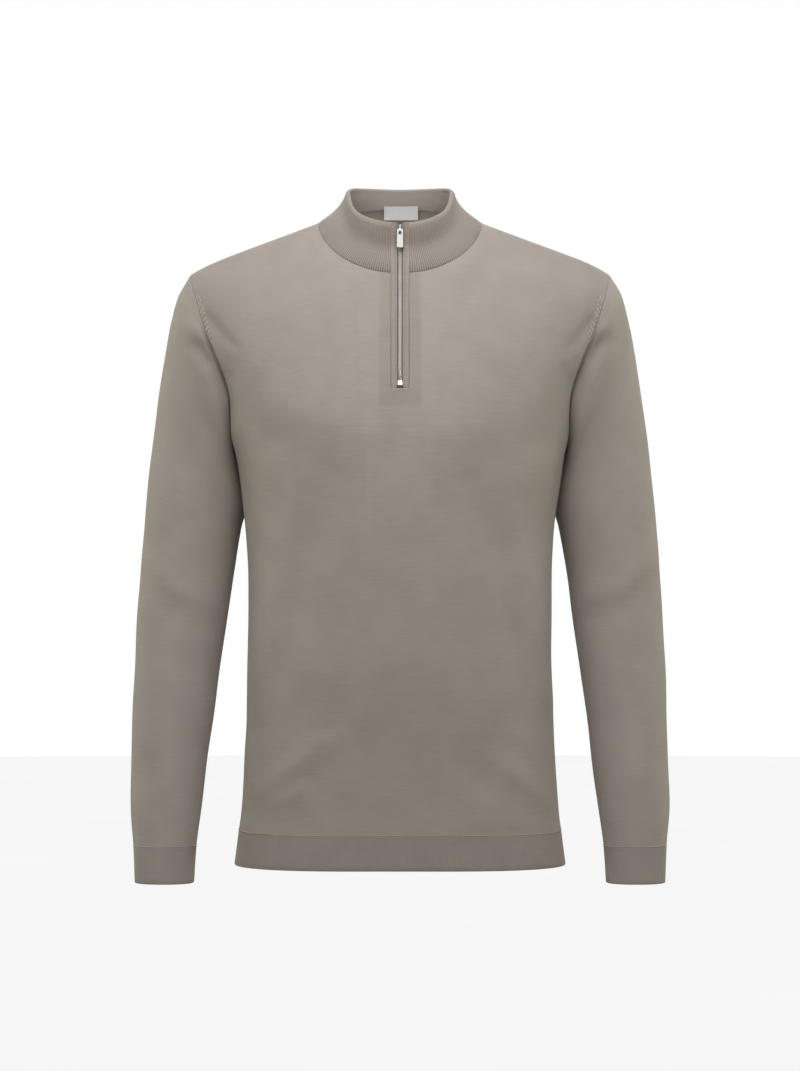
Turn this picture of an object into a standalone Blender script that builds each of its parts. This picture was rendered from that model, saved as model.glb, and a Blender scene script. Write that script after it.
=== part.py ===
"""Fine-knit sweater with a quarter zip, filled out as if worn, its sleeves hanging.

Frame: +Z is up, the front faces -Y, and +X is on the right when it is seen from the front.
The origin is in the neck, level with the points where the shoulder seams meet the collar.
All sizes are in millimetres and become metres when a mesh is made.
"""

import math

import bmesh
import bpy
import numpy as np

MM = 0.001
FRONT, BACK = -1, 1

# ---------------------------------------------------------------- driving dimensions

SEAM_GAP = 0.3
PANEL_WALL = 1.6
SLEEVE_WALL = 1.6
BAND_WALL = 2.2
COLLAR_WALL = 3.0

HEM_EDGE_Z = -691.0
HEM_SEAM_Z = -653.8
UNDERARM_Z = -238.0
SIDE_SEAM_ANGLE = math.radians(96.0)

NECK_SIDE = np.array([88.0, 4.0, -1.0])
NECK_FRONT = np.array([0.0, -70.0, -60.0])
NECK_BACK = np.array([0.0, 76.0, 20.0])
SHOULDER_TIP = np.array([226.0, 8.0, -57.0])
SHOULDER_DROP = 5.0
NECK_SHARE = 0.5
NECK_FULLNESS = 0.72

ARMHOLE_DEPTH = 61.0
ARMHOLE_SCOOP = {FRONT: 10.0, BACK: 5.0}

COLLAR_HALF_WIDTH = 58.7
COLLAR_TOP_SIDE = np.array([2.0, 38.0])
COLLAR_TOP_FRONT = np.array([-64.0, -6.0])
COLLAR_TOP_BACK = np.array([64.0, 41.0])

RIB_HEIGHT = 0.5
COLLAR_RIBS = 116
HEM_RIBS = 210
CUFF_RIBS = 45

CUFF_SEAM_Z = -670.0
CUFF_EDGE_Z = -709.5

SLOT_HALF_WIDTH = 9.7
ZIP_BOTTOM_Z = -183.5
STRIP_INNER_X = 3.0
STRIP_OUTER_X = 9.4
CHAIN_HALF_WIDTH = 2.6
STOP_HALF_WIDTH = 2.1
STOP_TOP_Z = -176.2
STOP_BOTTOM_Z = -180.4
HINGE_Z = -14.3

# Level sections of the torso, hem to chest.
# height, half width, depth to the front, depth to the back, squareness
TORSO = (
    (-700.0, 179.2, 108.0, 114.0, 2.4),
    (-653.8, 173.3, 110.0, 115.0, 2.4),
    (-600.0, 168.9, 112.0, 114.0, 2.4),
    (-540.0, 165.2, 114.0, 110.0, 2.4),
    (-480.0, 163.5, 117.0, 106.0, 2.4),
    (-410.0, 162.7, 120.0, 106.0, 2.35),
    (-360.0, 163.8, 123.0, 112.0, 2.25),
    (-326.0, 166.2, 125.0, 118.0, 2.2),
    (-290.0, 171.3, 127.0, 125.0, 2.2),
    (-238.0, 178.3, 129.0, 133.0, 2.25),
    (-200.0, 181.5, 128.0, 136.0, 2.3),
)

# Sections of a sleeve, from the armhole to the cuff's edge.
# way down the arm, outer x, outer z, inner x, inner z, middle y, half depth, squareness
SLEEVE = (
    (0.0, 226.0, -57.0, 177.6, -238.0, 13.0, 61.0, 2.0),
    (22.0, 238.5, -76.0, 178.7, -247.5, 19.0, 61.0, 2.05),
    (50.0, 247.3, -104.0, 176.6, -259.0, 25.0, 60.0, 2.1),
    (85.0, 254.3, -140.0, 173.8, -273.0, 31.0, 58.5, 2.1),
    (125.0, 261.5, -183.0, 170.2, -293.0, 35.0, 57.0, 2.15),
    (165.0, 266.8, -222.0, 168.0, -312.0, 37.0, 56.0, 2.15),
    (205.0, 271.2, -264.0, 172.0, -328.0, 36.0, 54.5, 2.2),
    (245.0, 275.2, -303.0, 176.3, -350.0, 35.0, 53.0, 2.2),
    (290.0, 279.2, -352.0, 181.0, -380.0, 32.0, 51.0, 2.2),
    (350.0, 283.5, -415.0, 186.6, -425.0, 26.0, 47.5, 2.2),
    (430.0, 287.2, -497.0, 197.0, -499.0, 14.0, 41.5, 2.2),
    (510.0, 289.0, -580.0, 207.3, -581.0, 0.0, 35.5, 2.2),
    (570.0, 289.2, -634.0, 213.8, -634.5, -9.0, 31.0, 2.2),
    (604.0, 285.9, CUFF_SEAM_Z, 218.4, CUFF_SEAM_Z, -15.0, 27.5, 2.2),
    (643.5, 284.0, CUFF_EDGE_Z, 221.0, CUFF_EDGE_Z, -19.0, 26.5, 2.2),
)
CUFF_SEAM_WAY = 604.0
CUFF_EDGE_WAY = 643.5

# Soft folds of the body: panel, from x, from z, to x, to z, half width, height out of the panel.
FOLDS = (
    (FRONT, -104.0, -280.0, -146.0, -510.0, 17.0, 2.6),
    (FRONT, 110.0, -300.0, 148.0, -500.0, 16.0, 2.3),
    (FRONT, -84.0, -290.0, -118.0, -470.0, 20.0, -2.2),
    (FRONT, 92.0, -300.0, 120.0, -490.0, 20.0, -2.0),
    (FRONT, -176.0, -160.0, -140.0, -232.0, 17.0, -2.8),
    (FRONT, 178.0, -165.0, 146.0, -236.0, 16.0, -2.5),
    (FRONT, -140.0, -596.0, -74.0, -548.0, 13.0, 1.5),
    (FRONT, 136.0, -588.0, 84.0, -560.0, 12.0, 1.3),
    (BACK, -110.0, -230.0, -70.0, -420.0, 20.0, -2.4),
    (BACK, 104.0, -220.0, 78.0, -400.0, 19.0, -2.2),
    (BACK, -120.0, -452.0, 96.0, -440.0, 15.0, 2.2),
    (BACK, -84.0, -486.0, 130.0, -476.0, 13.0, 1.8),
    (BACK, -176.0, -150.0, -136.0, -240.0, 17.0, -2.8),
    (BACK, 178.0, -156.0, 142.0, -236.0, 16.0, -2.6),
)


# ---------------------------------------------------------------- curves and tables

def unit(vectors):
    """Vectors scaled to length 1."""
    return vectors / np.linalg.norm(vectors, axis=-1, keepdims=True)


def smoothstep(value):
    """0 below 0, 1 above 1, with a soft start and end between."""
    value = np.clip(value, 0.0, 1.0)
    return value * value * (3.0 - 2.0 * value)


def signed_power(value, power):
    """A power of the size of a value, with the value's own sign."""
    return np.sign(value) * np.abs(value) ** power


def even_spacing(curve, start, end, count):
    """Parameters that split a curve from start to end into equal lengths."""
    fine = np.linspace(start, end, 1601)
    points = curve(fine)
    steps = np.linalg.norm(np.diff(points, axis=0), axis=1)
    length = np.concatenate([[0.0], np.cumsum(steps)])
    return np.interp(np.linspace(0.0, length[-1], count), length, fine)


def hermite(start, end, start_slope, end_slope, u):
    """Cubic from start to end as u runs from 0 to 1, leaving and arriving with the given slopes."""
    return (
        (2 * u**3 - 3 * u**2 + 1) * start
        + (u**3 - 2 * u**2 + u) * start_slope
        + (3 * u**2 - 2 * u**3) * end
        + (u**3 - u**2) * end_slope
    )


def read_table(rows, at):
    """The columns of a table at the given values of its first one, by a cubic through every row."""
    table = np.array(rows, float)
    keys, values = table[:, 0], table[:, 1:]
    slopes = np.gradient(values, keys, axis=0)
    at = np.clip(np.asarray(at, float), keys[0], keys[-1])
    row = np.clip(np.searchsorted(keys, at) - 1, 0, len(keys) - 2)
    span = (keys[row + 1] - keys[row])[..., None]
    u = (at - keys[row])[..., None] / span
    return hermite(values[row], values[row + 1], slopes[row] * span, slopes[row + 1] * span, u)


def rounded(angle, across, along, squareness):
    """Distance from the middle of a squared-off ellipse to its edge, at an angle from 'along'."""
    return (
        np.abs(np.sin(angle) / across) ** squareness + np.abs(np.cos(angle) / along) ** squareness
    ) ** (-1.0 / squareness)


# ---------------------------------------------------------------- body

def torso_point(height, angle):
    """Point of a level section; the angle runs from centre front, 0, to centre back, pi."""
    half_width, front, back, squareness = np.moveaxis(read_table(TORSO, height), -1, 0)
    depth = np.where(np.cos(angle) > 0.0, front, back)
    reach = rounded(angle, half_width, depth, squareness)
    return np.stack([reach * np.sin(angle), -reach * np.cos(angle), height + 0.0 * angle], axis=-1)


def side_angle(face, s):
    """Angle round the torso of a panel's column; s is 0 at the panel's middle, 1 at the side."""
    if face == FRONT:
        return SIDE_SEAM_ANGLE * s
    return math.pi - (math.pi - SIDE_SEAM_ANGLE) * s


UNDERARM = torso_point(np.array(UNDERARM_Z), np.array(SIDE_SEAM_ANGLE))
ARM_LINE = unit(SHOULDER_TIP - UNDERARM)
ARM_AXIS = unit(np.cross(np.array([0.0, 1.0, 0.0]), ARM_LINE))
ARMHOLE_MIDDLE = (SHOULDER_TIP + UNDERARM) / 2.0


def armhole_point(face, climb):
    """Armhole seam on the +X side, from the underarm (climb 0) to the shoulder tip (climb 1)."""
    turn = np.pi * np.asarray(climb, float)
    rise = (1.0 - np.cos(turn)) / 2.0
    point = UNDERARM + (SHOULDER_TIP - UNDERARM) * rise[..., None]
    point[..., 1] += face * ARMHOLE_DEPTH * np.sin(turn)
    point[..., 0] -= ARMHOLE_SCOOP[face] * np.sin(np.pi * (1.0 - rise) ** 1.8) ** 2
    return point


def armhole_wall(points, side):
    """Wall direction at the armhole seam, for the panel (side 1) or for the sleeve (side -1).

    It points out of the armhole's loop. Towards the underarm the two walls part inside the
    seam, since the cloth folds back on itself there.
    """
    away = points - ARMHOLE_MIDDLE
    away = away - (away @ ARM_AXIS)[..., None] * ARM_AXIS
    height = (points[..., 2] - UNDERARM[2]) / (SHOULDER_TIP[2] - UNDERARM[2])
    part = side * np.clip(1.0 - height, 0.0, 1.0)[..., None]
    return unit(unit(away) + part * ARM_AXIS)


def neckline_point(face, turn):
    """Collar seam on the +X side; turn runs from the middle (0) to the neck's side (pi / 2)."""
    middle = NECK_FRONT if face == FRONT else NECK_BACK
    near = np.cos(turn)
    reach = signed_power(near, NECK_FULLNESS)
    lift = signed_power(near, 1.08)
    return np.stack([
        NECK_SIDE[0] * np.sin(turn),
        NECK_SIDE[1] + (middle[1] - NECK_SIDE[1]) * reach,
        NECK_SIDE[2] + (middle[2] - NECK_SIDE[2]) * lift,
    ], axis=-1)


def neckline_outward(points):
    """Direction of the wall at the collar seam: level at the middle, more upright at the sides."""
    side = (np.abs(points[..., 0]) / NECK_SIDE[0])[..., None] ** 2
    around = points - np.array([0.0, NECK_SIDE[1], 0.0])
    around = unit(around * np.array([1.0, 1.0, 0.0]))
    return unit(around * (0.95 - 0.45 * side) + np.array([0.0, 0.0, 1.0]) * (0.3 + 0.55 * side))


def neckline_rise(face, turn):
    """Direction across the collar seam, square to the seam and to the wall, into the collar."""
    ahead, behind = neckline_point(face, turn + 0.01), neckline_point(face, turn - 0.01)
    along = (ahead - behind) * -face
    return unit(np.cross(neckline_outward(neckline_point(face, turn)), along))


def top_edge(face, s):
    """A panel's upper edge on the +X side: the neckline, then the shoulder seam."""
    neck = neckline_point(face, np.minimum(s / NECK_SHARE, 1.0) * math.pi / 2.0)
    out = np.clip((s - NECK_SHARE) / (1.0 - NECK_SHARE), 0.0, 1.0)
    out = 1.0 - (1.0 - out) ** 1.5
    straight_tip = SHOULDER_TIP + np.array([0.0, 0.0, SHOULDER_DROP])
    shoulder = NECK_SIDE + (straight_tip - NECK_SIDE) * out[..., None]
    shoulder[..., 2] -= SHOULDER_DROP * out**8
    return np.where((s > NECK_SHARE)[..., None], shoulder, neck)


def eased_top_edge(face, s):
    """The upper edge with its corner between neckline and shoulder rounded off."""
    reach = 0.8 * s * (1.0 - s)
    weights = (1.0, 2.0, 3.0, 4.0, 3.0, 2.0, 1.0)
    total = 0.0
    for weight, offset in zip(weights, (-0.75, -0.5, -0.25, 0.0, 0.25, 0.5, 0.75)):
        total = total + weight * top_edge(face, s + offset * reach)
    return total / sum(weights)


YOKE_START_DROP = 55.0

# How a panel's columns arrive at the neckline and shoulder.
# place across the panel, front's and back's angle above level, swing towards the neck, fullness
YOKE = (
    (0.0, 62.0, 52.0, 0.0, 0.95),
    (0.25, 50.0, 42.0, 12.0, 0.98),
    (0.4, 37.0, 24.0, 34.0, 1.0),
    (0.5, 24.0, 12.0, 45.0, 1.0),
    (0.62, 14.0, 9.0, 28.0, 1.05),
    (0.8, 4.0, 3.0, 9.0, 1.1),
    (1.0, 0.0, 0.0, 0.0, 1.12),
)


def base_height(s):
    """Height where the yoke's columns start: below the underarm, rising to it at the side."""
    return UNDERARM_Z - YOKE_START_DROP * (1.0 - np.maximum((s - 0.6) / 0.4, 0.0) ** 2)


def yoke_column(face, s, climb):
    """Upper body without armholes, each column a cubic up to the neckline or shoulder."""
    angle = side_angle(face, s)
    base = torso_point(base_height(s), angle)
    below = torso_point(base_height(s) - 8.0, angle)
    top = eased_top_edge(face, s)
    reach = np.linalg.norm(top - base, axis=-1)[..., None]
    front_lean, back_lean, swing, fullness = np.moveaxis(read_table(YOKE, s), -1, 0)
    lean = np.radians(front_lean if face == FRONT else back_lean)
    swing, fullness = np.radians(swing), fullness[..., None]
    arrive = np.stack([
        -np.sin(swing) * np.cos(lean), -face * np.cos(swing) * np.cos(lean), np.sin(lean)
    ], axis=-1)
    flare = np.stack([0.22 * smoothstep((s - 0.55) / 0.4), 0.0 * s, 0.0 * s], axis=-1)
    leave = unit(unit(base - below) + flare) * reach * fullness
    arrive = arrive * reach * fullness
    corner = (top_edge(face, s) - top) * climb[..., None] ** 5
    return hermite(base, top, leave, arrive, climb[..., None]) + corner


def armhole_place(climb):
    """Where the armhole seam lies on the yoke's columns: place across, and climb up the column."""
    across = 1.0 - 0.2 * np.sin(np.pi * climb) ** 1.2 * (1.15 - 0.6 * climb)
    return across, climb**1.4


def panel_point(face, s, v):
    """Outer surface of a body panel.

    s runs from -1 to 1 across the panel. v runs from 0 at the hem seam to 1 at underarm level
    and on to 2 at the neckline and shoulder seams. Above the underarm the panel lies on the
    yoke's columns, drawn in to the armhole's line and eased onto the seam itself.
    """
    s, v = np.broadcast_arrays(np.asarray(s, float), np.asarray(v, float))
    across = np.abs(s)
    height = HEM_SEAM_Z + (base_height(across) - HEM_SEAM_Z) * np.minimum(v, 1.0)
    lower = torso_point(height, side_angle(face, across))
    climb = np.clip(v - 1.0, 0.0, 1.0)
    edge_across, edge_climb = armhole_place(climb)
    drawn_in = across**2.5
    upper = yoke_column(
        face,
        across + (edge_across - 1.0) * drawn_in,
        climb + (edge_climb - climb) * drawn_in,
    )
    edge_error = armhole_point(face, climb) - yoke_column(face, edge_across, edge_climb)
    upper = upper + edge_error * across[..., None] ** 6
    point = np.where((v <= 1.0)[..., None], lower, upper)
    point[..., 0] *= np.where(s < 0.0, -1.0, 1.0)
    return point


def surface_normal(point, u, v, u_range, v_range, outward_sign, steps=(0.004, 0.004)):
    """Unit normals of a surface function, from points a small step to each side."""
    u_low, u_high = np.maximum(u - steps[0], u_range[0]), np.minimum(u + steps[0], u_range[1])
    v_low, v_high = np.maximum(v - steps[1], v_range[0]), np.minimum(v + steps[1], v_range[1])
    along_u = point(u_high, v) - point(u_low, v)
    along_v = point(u, v_high) - point(u, v_low)
    return outward_sign * unit(np.cross(along_u, along_v))


def fold_height(face, points):
    """How far the soft folds lift a panel's points off its plain form."""
    height = np.zeros(points.shape[:-1])
    x, z = points[..., 0], points[..., 2]
    for panel, x0, z0, x1, z1, half_width, lift in FOLDS:
        if panel != face:
            continue
        run = np.array([x1 - x0, z1 - z0])
        share = ((x - x0) * run[0] + (z - z0) * run[1]) / (run @ run)
        share = np.clip(share, 0.0, 1.0)
        off = np.hypot(x - x0 - share * run[0], z - z0 - share * run[1])
        height += lift * np.exp(-((off / half_width) ** 2))
    return height


def panel_rows():
    """Row values of both panels, with one row on the end of the zip's slot."""
    fine = np.linspace(1.0, 2.0, 400)
    heights = panel_point(FRONT, np.zeros(400), fine)[:, 2]
    slot_end = float(np.interp(ZIP_BOTTOM_Z, heights, fine))
    lower = np.linspace(0.0, 1.0, 11)[:-1]
    upper = np.linspace(1.0, 2.0, 13)
    upper[np.argmin(np.abs(upper - slot_end))] = slot_end
    return np.concatenate([lower, upper]), slot_end


SLOT_S = 0.035
HALF_COLUMNS = (SLOT_S, 0.09, 0.15, 0.21, 0.27, 0.33, 0.39, 0.45, 0.5,
                0.57, 0.65, 0.73, 0.81, 0.88, 0.94, 1.0)
PANEL_ROWS, SLOT_ROW = panel_rows()


def make_panel(name, face, material):
    """Front or back panel as a closed wall; the front has the slot for the zip."""
    columns = np.array([-s for s in reversed(HALF_COLUMNS)] + [0.0] + list(HALF_COLUMNS))
    v, s = np.meshgrid(PANEL_ROWS, columns, indexing="ij")

    def surface(s_value, v_value):
        return panel_point(face, s_value, v_value)

    points = surface(s, v)
    outward = surface_normal(surface, s, v, (-1.0, 1.0), (0.0, 2.0), -face)
    edge, side = np.abs(s) == 1.0, np.sign(s)
    mirror = np.stack([np.where(s < 0.0, -1.0, 1.0), np.ones_like(s), np.ones_like(s)], axis=-1)
    armhole, sideseam = edge & (v >= 1.0), edge & (v < 1.0)
    shoulder = (v == 2.0) & (np.abs(s) > NECK_SHARE)
    neckline = (v == 2.0) & (np.abs(s) <= NECK_SHARE)
    shoulder_slope = SHOULDER_TIP - NECK_SIDE
    outward[sideseam] = np.array([1.0, 0.0, 0.0]) * side[sideseam][:, None]
    outward[shoulder] = unit(np.array([-shoulder_slope[2], 0.0, shoulder_slope[0]])) * mirror[shoulder]
    outward[neckline] = neckline_outward(points[neckline])
    outward[armhole] = armhole_wall(points[armhole] * mirror[armhole], 1.0) * mirror[armhole]
    outward[0, :, 2] = 0.0
    outward[0] = unit(outward[0])
    ease = np.where(edge | (v == 2.0), 0.0, 1.0)
    points = points + outward * (fold_height(face, points) * ease)[..., None]

    half_gap = SEAM_GAP / 2.0
    seam_turn = np.abs(s[neckline]) / NECK_SHARE * math.pi / 2.0
    points[neckline] -= half_gap * neckline_rise(face, seam_turn) * mirror[neckline]
    shoulder_end = (v == 2.0) & (np.abs(s) == NECK_SHARE)
    points[..., 1] += face * half_gap * (sideseam | shoulder | shoulder_end | (edge & (v == 1.0)))
    points[armhole] -= half_gap * ARM_AXIS * mirror[armhole]
    points[0, :, 2] += half_gap
    slot_side = (np.abs(s) == SLOT_S) & (v >= SLOT_ROW)
    keep = np.ones((len(PANEL_ROWS) - 1, len(columns) - 1), bool)
    if face == FRONT:
        points[(v == SLOT_ROW) & (np.abs(s) <= SLOT_S), 2] = ZIP_BOTTOM_Z
        points[..., 0] = np.where(slot_side, side * SLOT_HALF_WIDTH, points[..., 0])
        middle = np.abs(columns[:-1] + columns[1:]) < 2.0 * SLOT_S
        keep[np.ix_(PANEL_ROWS[:-1] >= SLOT_ROW, middle)] = False
    inner = points - PANEL_WALL * outward
    if face == FRONT:
        inner[..., 0] = np.where(slot_side, points[..., 0], inner[..., 0])
    return make_shell(name, points, inner, keep, False, material)


# ---------------------------------------------------------------- sleeves and bands

def sleeve_point(turn, way):
    """Outer surface of the +X sleeve. turn runs from the inner side (0) by the front round."""
    outer_x, outer_z, inner_x, inner_z, middle_y, half_depth, squareness = np.moveaxis(
        read_table(SLEEVE, way), -1, 0
    )
    middle = np.stack([(outer_x + inner_x) / 2.0, middle_y, (outer_z + inner_z) / 2.0], axis=-1)
    across = np.stack([outer_x - inner_x, 0.0 * way, outer_z - inner_z], axis=-1)
    half_width = np.linalg.norm(across, axis=-1) / 2.0
    inward = half_width * signed_power(np.cos(turn), 2.0 / squareness)
    point = middle - unit(across) * inward[..., None]
    point[..., 1] -= half_depth * signed_power(np.sin(turn), 2.0 / squareness)
    return point


def armhole_loop(turn):
    """The armhole seam at the same turns as the sleeve's sections."""
    climb = np.where(turn <= math.pi, turn, 2.0 * math.pi - turn) / math.pi
    front, back = armhole_point(FRONT, climb), armhole_point(BACK, climb)
    return np.where((turn <= math.pi)[..., None], front, back)


def fitted_sleeve(turn, way):
    """The sleeve's surface, eased onto the armhole seam over its first stretch."""
    plain = sleeve_point(turn, way)
    error = armhole_loop(turn) - sleeve_point(turn, np.zeros_like(way))
    ease = (1.0 - smoothstep(way / SLEEVE_HEAD))[..., None]
    return plain + error * ease


SLEEVE_HEAD = 60.0
SLEEVE_WAYS = (0.0, 10.0, 24.0, 42.0, 64.0, 92.0, 125.0, 160.0, 200.0, 245.0, 295.0, 350.0, 410.0,
               475.0, 535.0, 575.0, 594.0, CUFF_SEAM_WAY)


def make_sleeve(name, hand, material):
    """One sleeve as a closed tube wall, from the armhole seam to the cuff seam."""
    climbs = PANEL_ROWS[PANEL_ROWS >= 1.0] - 1.0
    turns = np.concatenate([climbs, 2.0 - climbs[::-1][1:-1]]) * math.pi
    way, turn = np.meshgrid(np.array(SLEEVE_WAYS), turns, indexing="ij")
    points = fitted_sleeve(turn, way)
    outward = surface_normal(
        fitted_sleeve, turn, way, (-9.0, 9.0), (0.0, CUFF_SEAM_WAY), -1.0, (0.01, 0.5)
    )
    outward[0] = armhole_wall(points[0], -1.0)
    outward[-1, :, 2] = 0.0
    outward[-1] = unit(outward[-1])
    points[0] += SEAM_GAP / 2.0 * ARM_AXIS
    points[-1, :, 2] += SEAM_GAP / 2.0
    inner = points - SLEEVE_WALL * outward
    flip = np.array([hand, 1.0, 1.0])
    keep = np.ones((len(SLEEVE_WAYS) - 1, len(turns)), bool)
    return make_shell(name, points * flip, inner * flip, keep, True, material)


def ring_outward(row):
    """Level outward directions along a closed row of points."""
    tangent = np.roll(row, -1, axis=0) - np.roll(row, 1, axis=0)
    outward = np.stack([tangent[:, 1], -tangent[:, 0], 0.0 * tangent[:, 0]], axis=-1)
    away = row - row.mean(axis=0)
    sign = np.sign(np.sum(outward * away, axis=-1))[:, None]
    return unit(outward * sign)


def ribbed(row, outward, height=RIB_HEIGHT):
    """A row of points with every second one raised into a rib."""
    raised = (np.arange(len(row)) % 2)[:, None]
    return row + outward * raised * height


def band_rows(ring, levels, ribs, wall):
    """Rows of a closed ribbed band: up its outer side, then down its plain inner side.

    ring(angle, level) gives the plain outer surface.
    """
    even = even_spacing(lambda angle: ring(angle, levels[0]), 0.0, 2.0 * math.pi, 2 * ribs + 1)
    fine, coarse = even[:-1], even[:-1:5]
    rows = []
    for level in levels:
        row = ring(fine, level)
        rows.append(ribbed(row, ring_outward(row)))
    for level in (levels[-1], levels[0]):
        row = ring(coarse, level)
        rows.append(row - wall * ring_outward(row))
    return rows


def make_hem_band(material):
    """Ribbed hem band, one closed tube under the front and back panels."""

    def ring(angle, height):
        around = np.where(angle <= math.pi, angle, 2.0 * math.pi - angle)
        row = torso_point(np.full_like(angle, height), around)
        row[:, 0] *= np.where(angle <= math.pi, 1.0, -1.0)
        return row

    levels = (HEM_EDGE_Z, HEM_SEAM_Z - SEAM_GAP / 2.0)
    return make_band("hem_band", band_rows(ring, levels, HEM_RIBS, BAND_WALL), True, material)


def make_cuff(name, hand, material):
    """Ribbed cuff, one closed tube below a sleeve."""

    def ring(turn, way):
        return sleeve_point(turn, np.full_like(turn, way))

    rows = band_rows(ring, (CUFF_EDGE_WAY, CUFF_SEAM_WAY), CUFF_RIBS, BAND_WALL)
    flip = np.array([hand, 1.0, 1.0])
    for row in (rows[1], rows[2]):
        row[:, 2] -= SEAM_GAP / 2.0
    return make_band(name, [row * flip for row in rows], True, material)


# ---------------------------------------------------------------- collar

def collar_half_width(v):
    """Half width of the collar at a level; it flares out onto the shoulders."""
    return COLLAR_HALF_WIDTH + (NECK_SIDE[0] - COLLAR_HALF_WIDTH) * (1.0 - v) ** 2


def split_turn(turn):
    """For turns round the neck: on the +X side, on the front half, angle from the middle line."""
    around = np.where(turn <= math.pi, turn, 2.0 * math.pi - turn)
    front = around <= math.pi / 2.0
    return turn <= math.pi, front, np.where(front, around, math.pi - around)


def at_panel_columns(values, from_middle):
    """A function of the seam's angle, read only at the panels' columns and straight between."""
    nodes = np.array([0.0] + [s for s in HALF_COLUMNS if s <= NECK_SHARE])
    nodes = nodes / NECK_SHARE * math.pi / 2.0
    table = values(nodes)
    return np.stack([np.interp(from_middle, nodes, table[:, i]) for i in range(3)], axis=-1)


def neck_seam(turn):
    """The collar's lower edge, its wall direction and its way up, all round."""
    right, front, from_middle = split_turn(turn)
    parts = []
    for values in (
        neckline_point,
        lambda face, nodes: neckline_outward(neckline_point(face, nodes)),
        neckline_rise,
    ):
        ahead = at_panel_columns(lambda nodes: values(FRONT, nodes), from_middle)
        behind = at_panel_columns(lambda nodes: values(BACK, nodes), from_middle)
        part = np.where(front[..., None], ahead, behind)
        part[..., 0] *= np.where(right, 1.0, -1.0)
        parts.append(part)
    return parts


def collar_point(turn, v):
    """Outer surface of the collar, from the neck seam (v 0) to its top (v 1).

    turn runs from centre front, 0, round one side to centre back, pi, and on to 2 pi.
    """
    right, front, from_middle = split_turn(turn)
    seam = np.where(
        front[..., None],
        neckline_point(FRONT, from_middle),
        neckline_point(BACK, from_middle),
    )
    near = np.cos(from_middle)
    top_middle = np.where(front[..., None], COLLAR_TOP_FRONT, COLLAR_TOP_BACK)
    lift = near**1.08
    top_y = COLLAR_TOP_SIDE[0] + (top_middle[..., 0] - COLLAR_TOP_SIDE[0]) * near**NECK_FULLNESS
    top_z = COLLAR_TOP_SIDE[1] + (top_middle[..., 1] - COLLAR_TOP_SIDE[1]) * lift
    flare = (1.0 - v) ** (2.0 - 0.5 * near)
    point = np.stack([
        collar_half_width(v) * np.sin(from_middle),
        top_y + (seam[..., 1] - top_y) * flare,
        seam[..., 2] + (top_z - seam[..., 2]) * v,
    ], axis=-1)
    point[..., 0] *= np.where(right, 1.0, -1.0)
    return point


def collar_row(count, v):
    """Points and outward directions of the collar at a level, one end of the slot to the other."""
    level = np.full(count, v)
    middle_height = even_spacing(lambda at: collar_point(at, np.full_like(at, 0.5)), 0.0, math.pi, 400)
    start = math.asin(SLOT_HALF_WIDTH / float(collar_half_width(v)))
    first = np.interp(start, middle_height, np.linspace(0.0, 1.0, 400))
    share = np.linspace(first, 2.0 - first, count)
    half_turn = np.interp(1.0 - np.abs(share - 1.0), np.linspace(0.0, 1.0, 400), middle_height)
    turn = np.where(share <= 1.0, half_turn, 2.0 * math.pi - half_turn)
    row = collar_point(turn, level)
    outward = surface_normal(collar_point, turn, level, (0.0, 2.0 * math.pi), (0.0, 1.0), 1.0)
    if v == 0.0:
        row, outward, rise = neck_seam(turn)
        row = row + rise * SEAM_GAP / 2.0
    for end in (0, -1):
        outward[end, 0] = 0.0
        outward[end] = unit(outward[end])
    return row, outward


def make_collar(material):
    """Doubled stand collar: ribbed outside, plain inside, with a rounded top edge."""
    rows = []
    for v in (0.0, 0.3, 0.62, 0.94):
        row, outward = collar_row(2 * COLLAR_RIBS + 1, v)
        rows.append(ribbed(row, outward))
    coarse = COLLAR_RIBS // 2 + 1
    for v, depth in ((1.0, 0.5), (0.94, 1.0), (0.5, 1.0), (0.0, 1.0)):
        row, outward = collar_row(coarse, v)
        rows.append(row - outward * depth * COLLAR_WALL)
    return make_band("collar", rows, False, material)


# ---------------------------------------------------------------- zip

def front_path():
    """The closure's line up the middle of the front: y and z, from the slot's end to the top."""
    v = np.linspace(SLOT_ROW, 2.0, 60)
    chest = panel_point(FRONT, np.zeros(60), v)[:, 1:]
    collar = collar_point(np.zeros(30), np.linspace(0.0, 1.0, 30))[1:, 1:]
    line = np.concatenate([chest, collar])
    length = np.concatenate([[0.0], np.cumsum(np.linalg.norm(np.diff(line, axis=0), axis=1))])
    even = np.linspace(0.0, length[-1], 241)
    path = np.stack([np.interp(even, length, line[:, i]) for i in (0, 1)], axis=-1)
    for _ in range(60):
        path[1:-1] = (path[:-2] + 2.0 * path[1:-1] + path[2:]) / 4.0
    return path


FRONT_PATH = front_path()


def path_between(low_z, high_z, count):
    """Points and outward directions of the closure's line between two heights."""
    z = np.linspace(low_z, high_z, count)
    y = np.interp(z, FRONT_PATH[:, 1], FRONT_PATH[:, 0])
    slope = np.gradient(y, z)
    outward = unit(np.stack([0.0 * z, -np.ones_like(z), slope], axis=-1))
    return np.stack([0.0 * z, y, z], axis=-1), outward


def make_ribbon(name, x_range, depth_range, z_range, count, material):
    """A strip of cloth or metal that follows the closure's line, of one rectangular section."""
    line, outward = path_between(*z_range, count)
    corners = []
    for x, depth in ((0, 0), (1, 0), (1, 1), (0, 1)):
        row = line + outward * depth_range[depth]
        row[:, 0] += x_range[x]
        corners.append(row)
    return make_band(name, corners, False, material)


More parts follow.
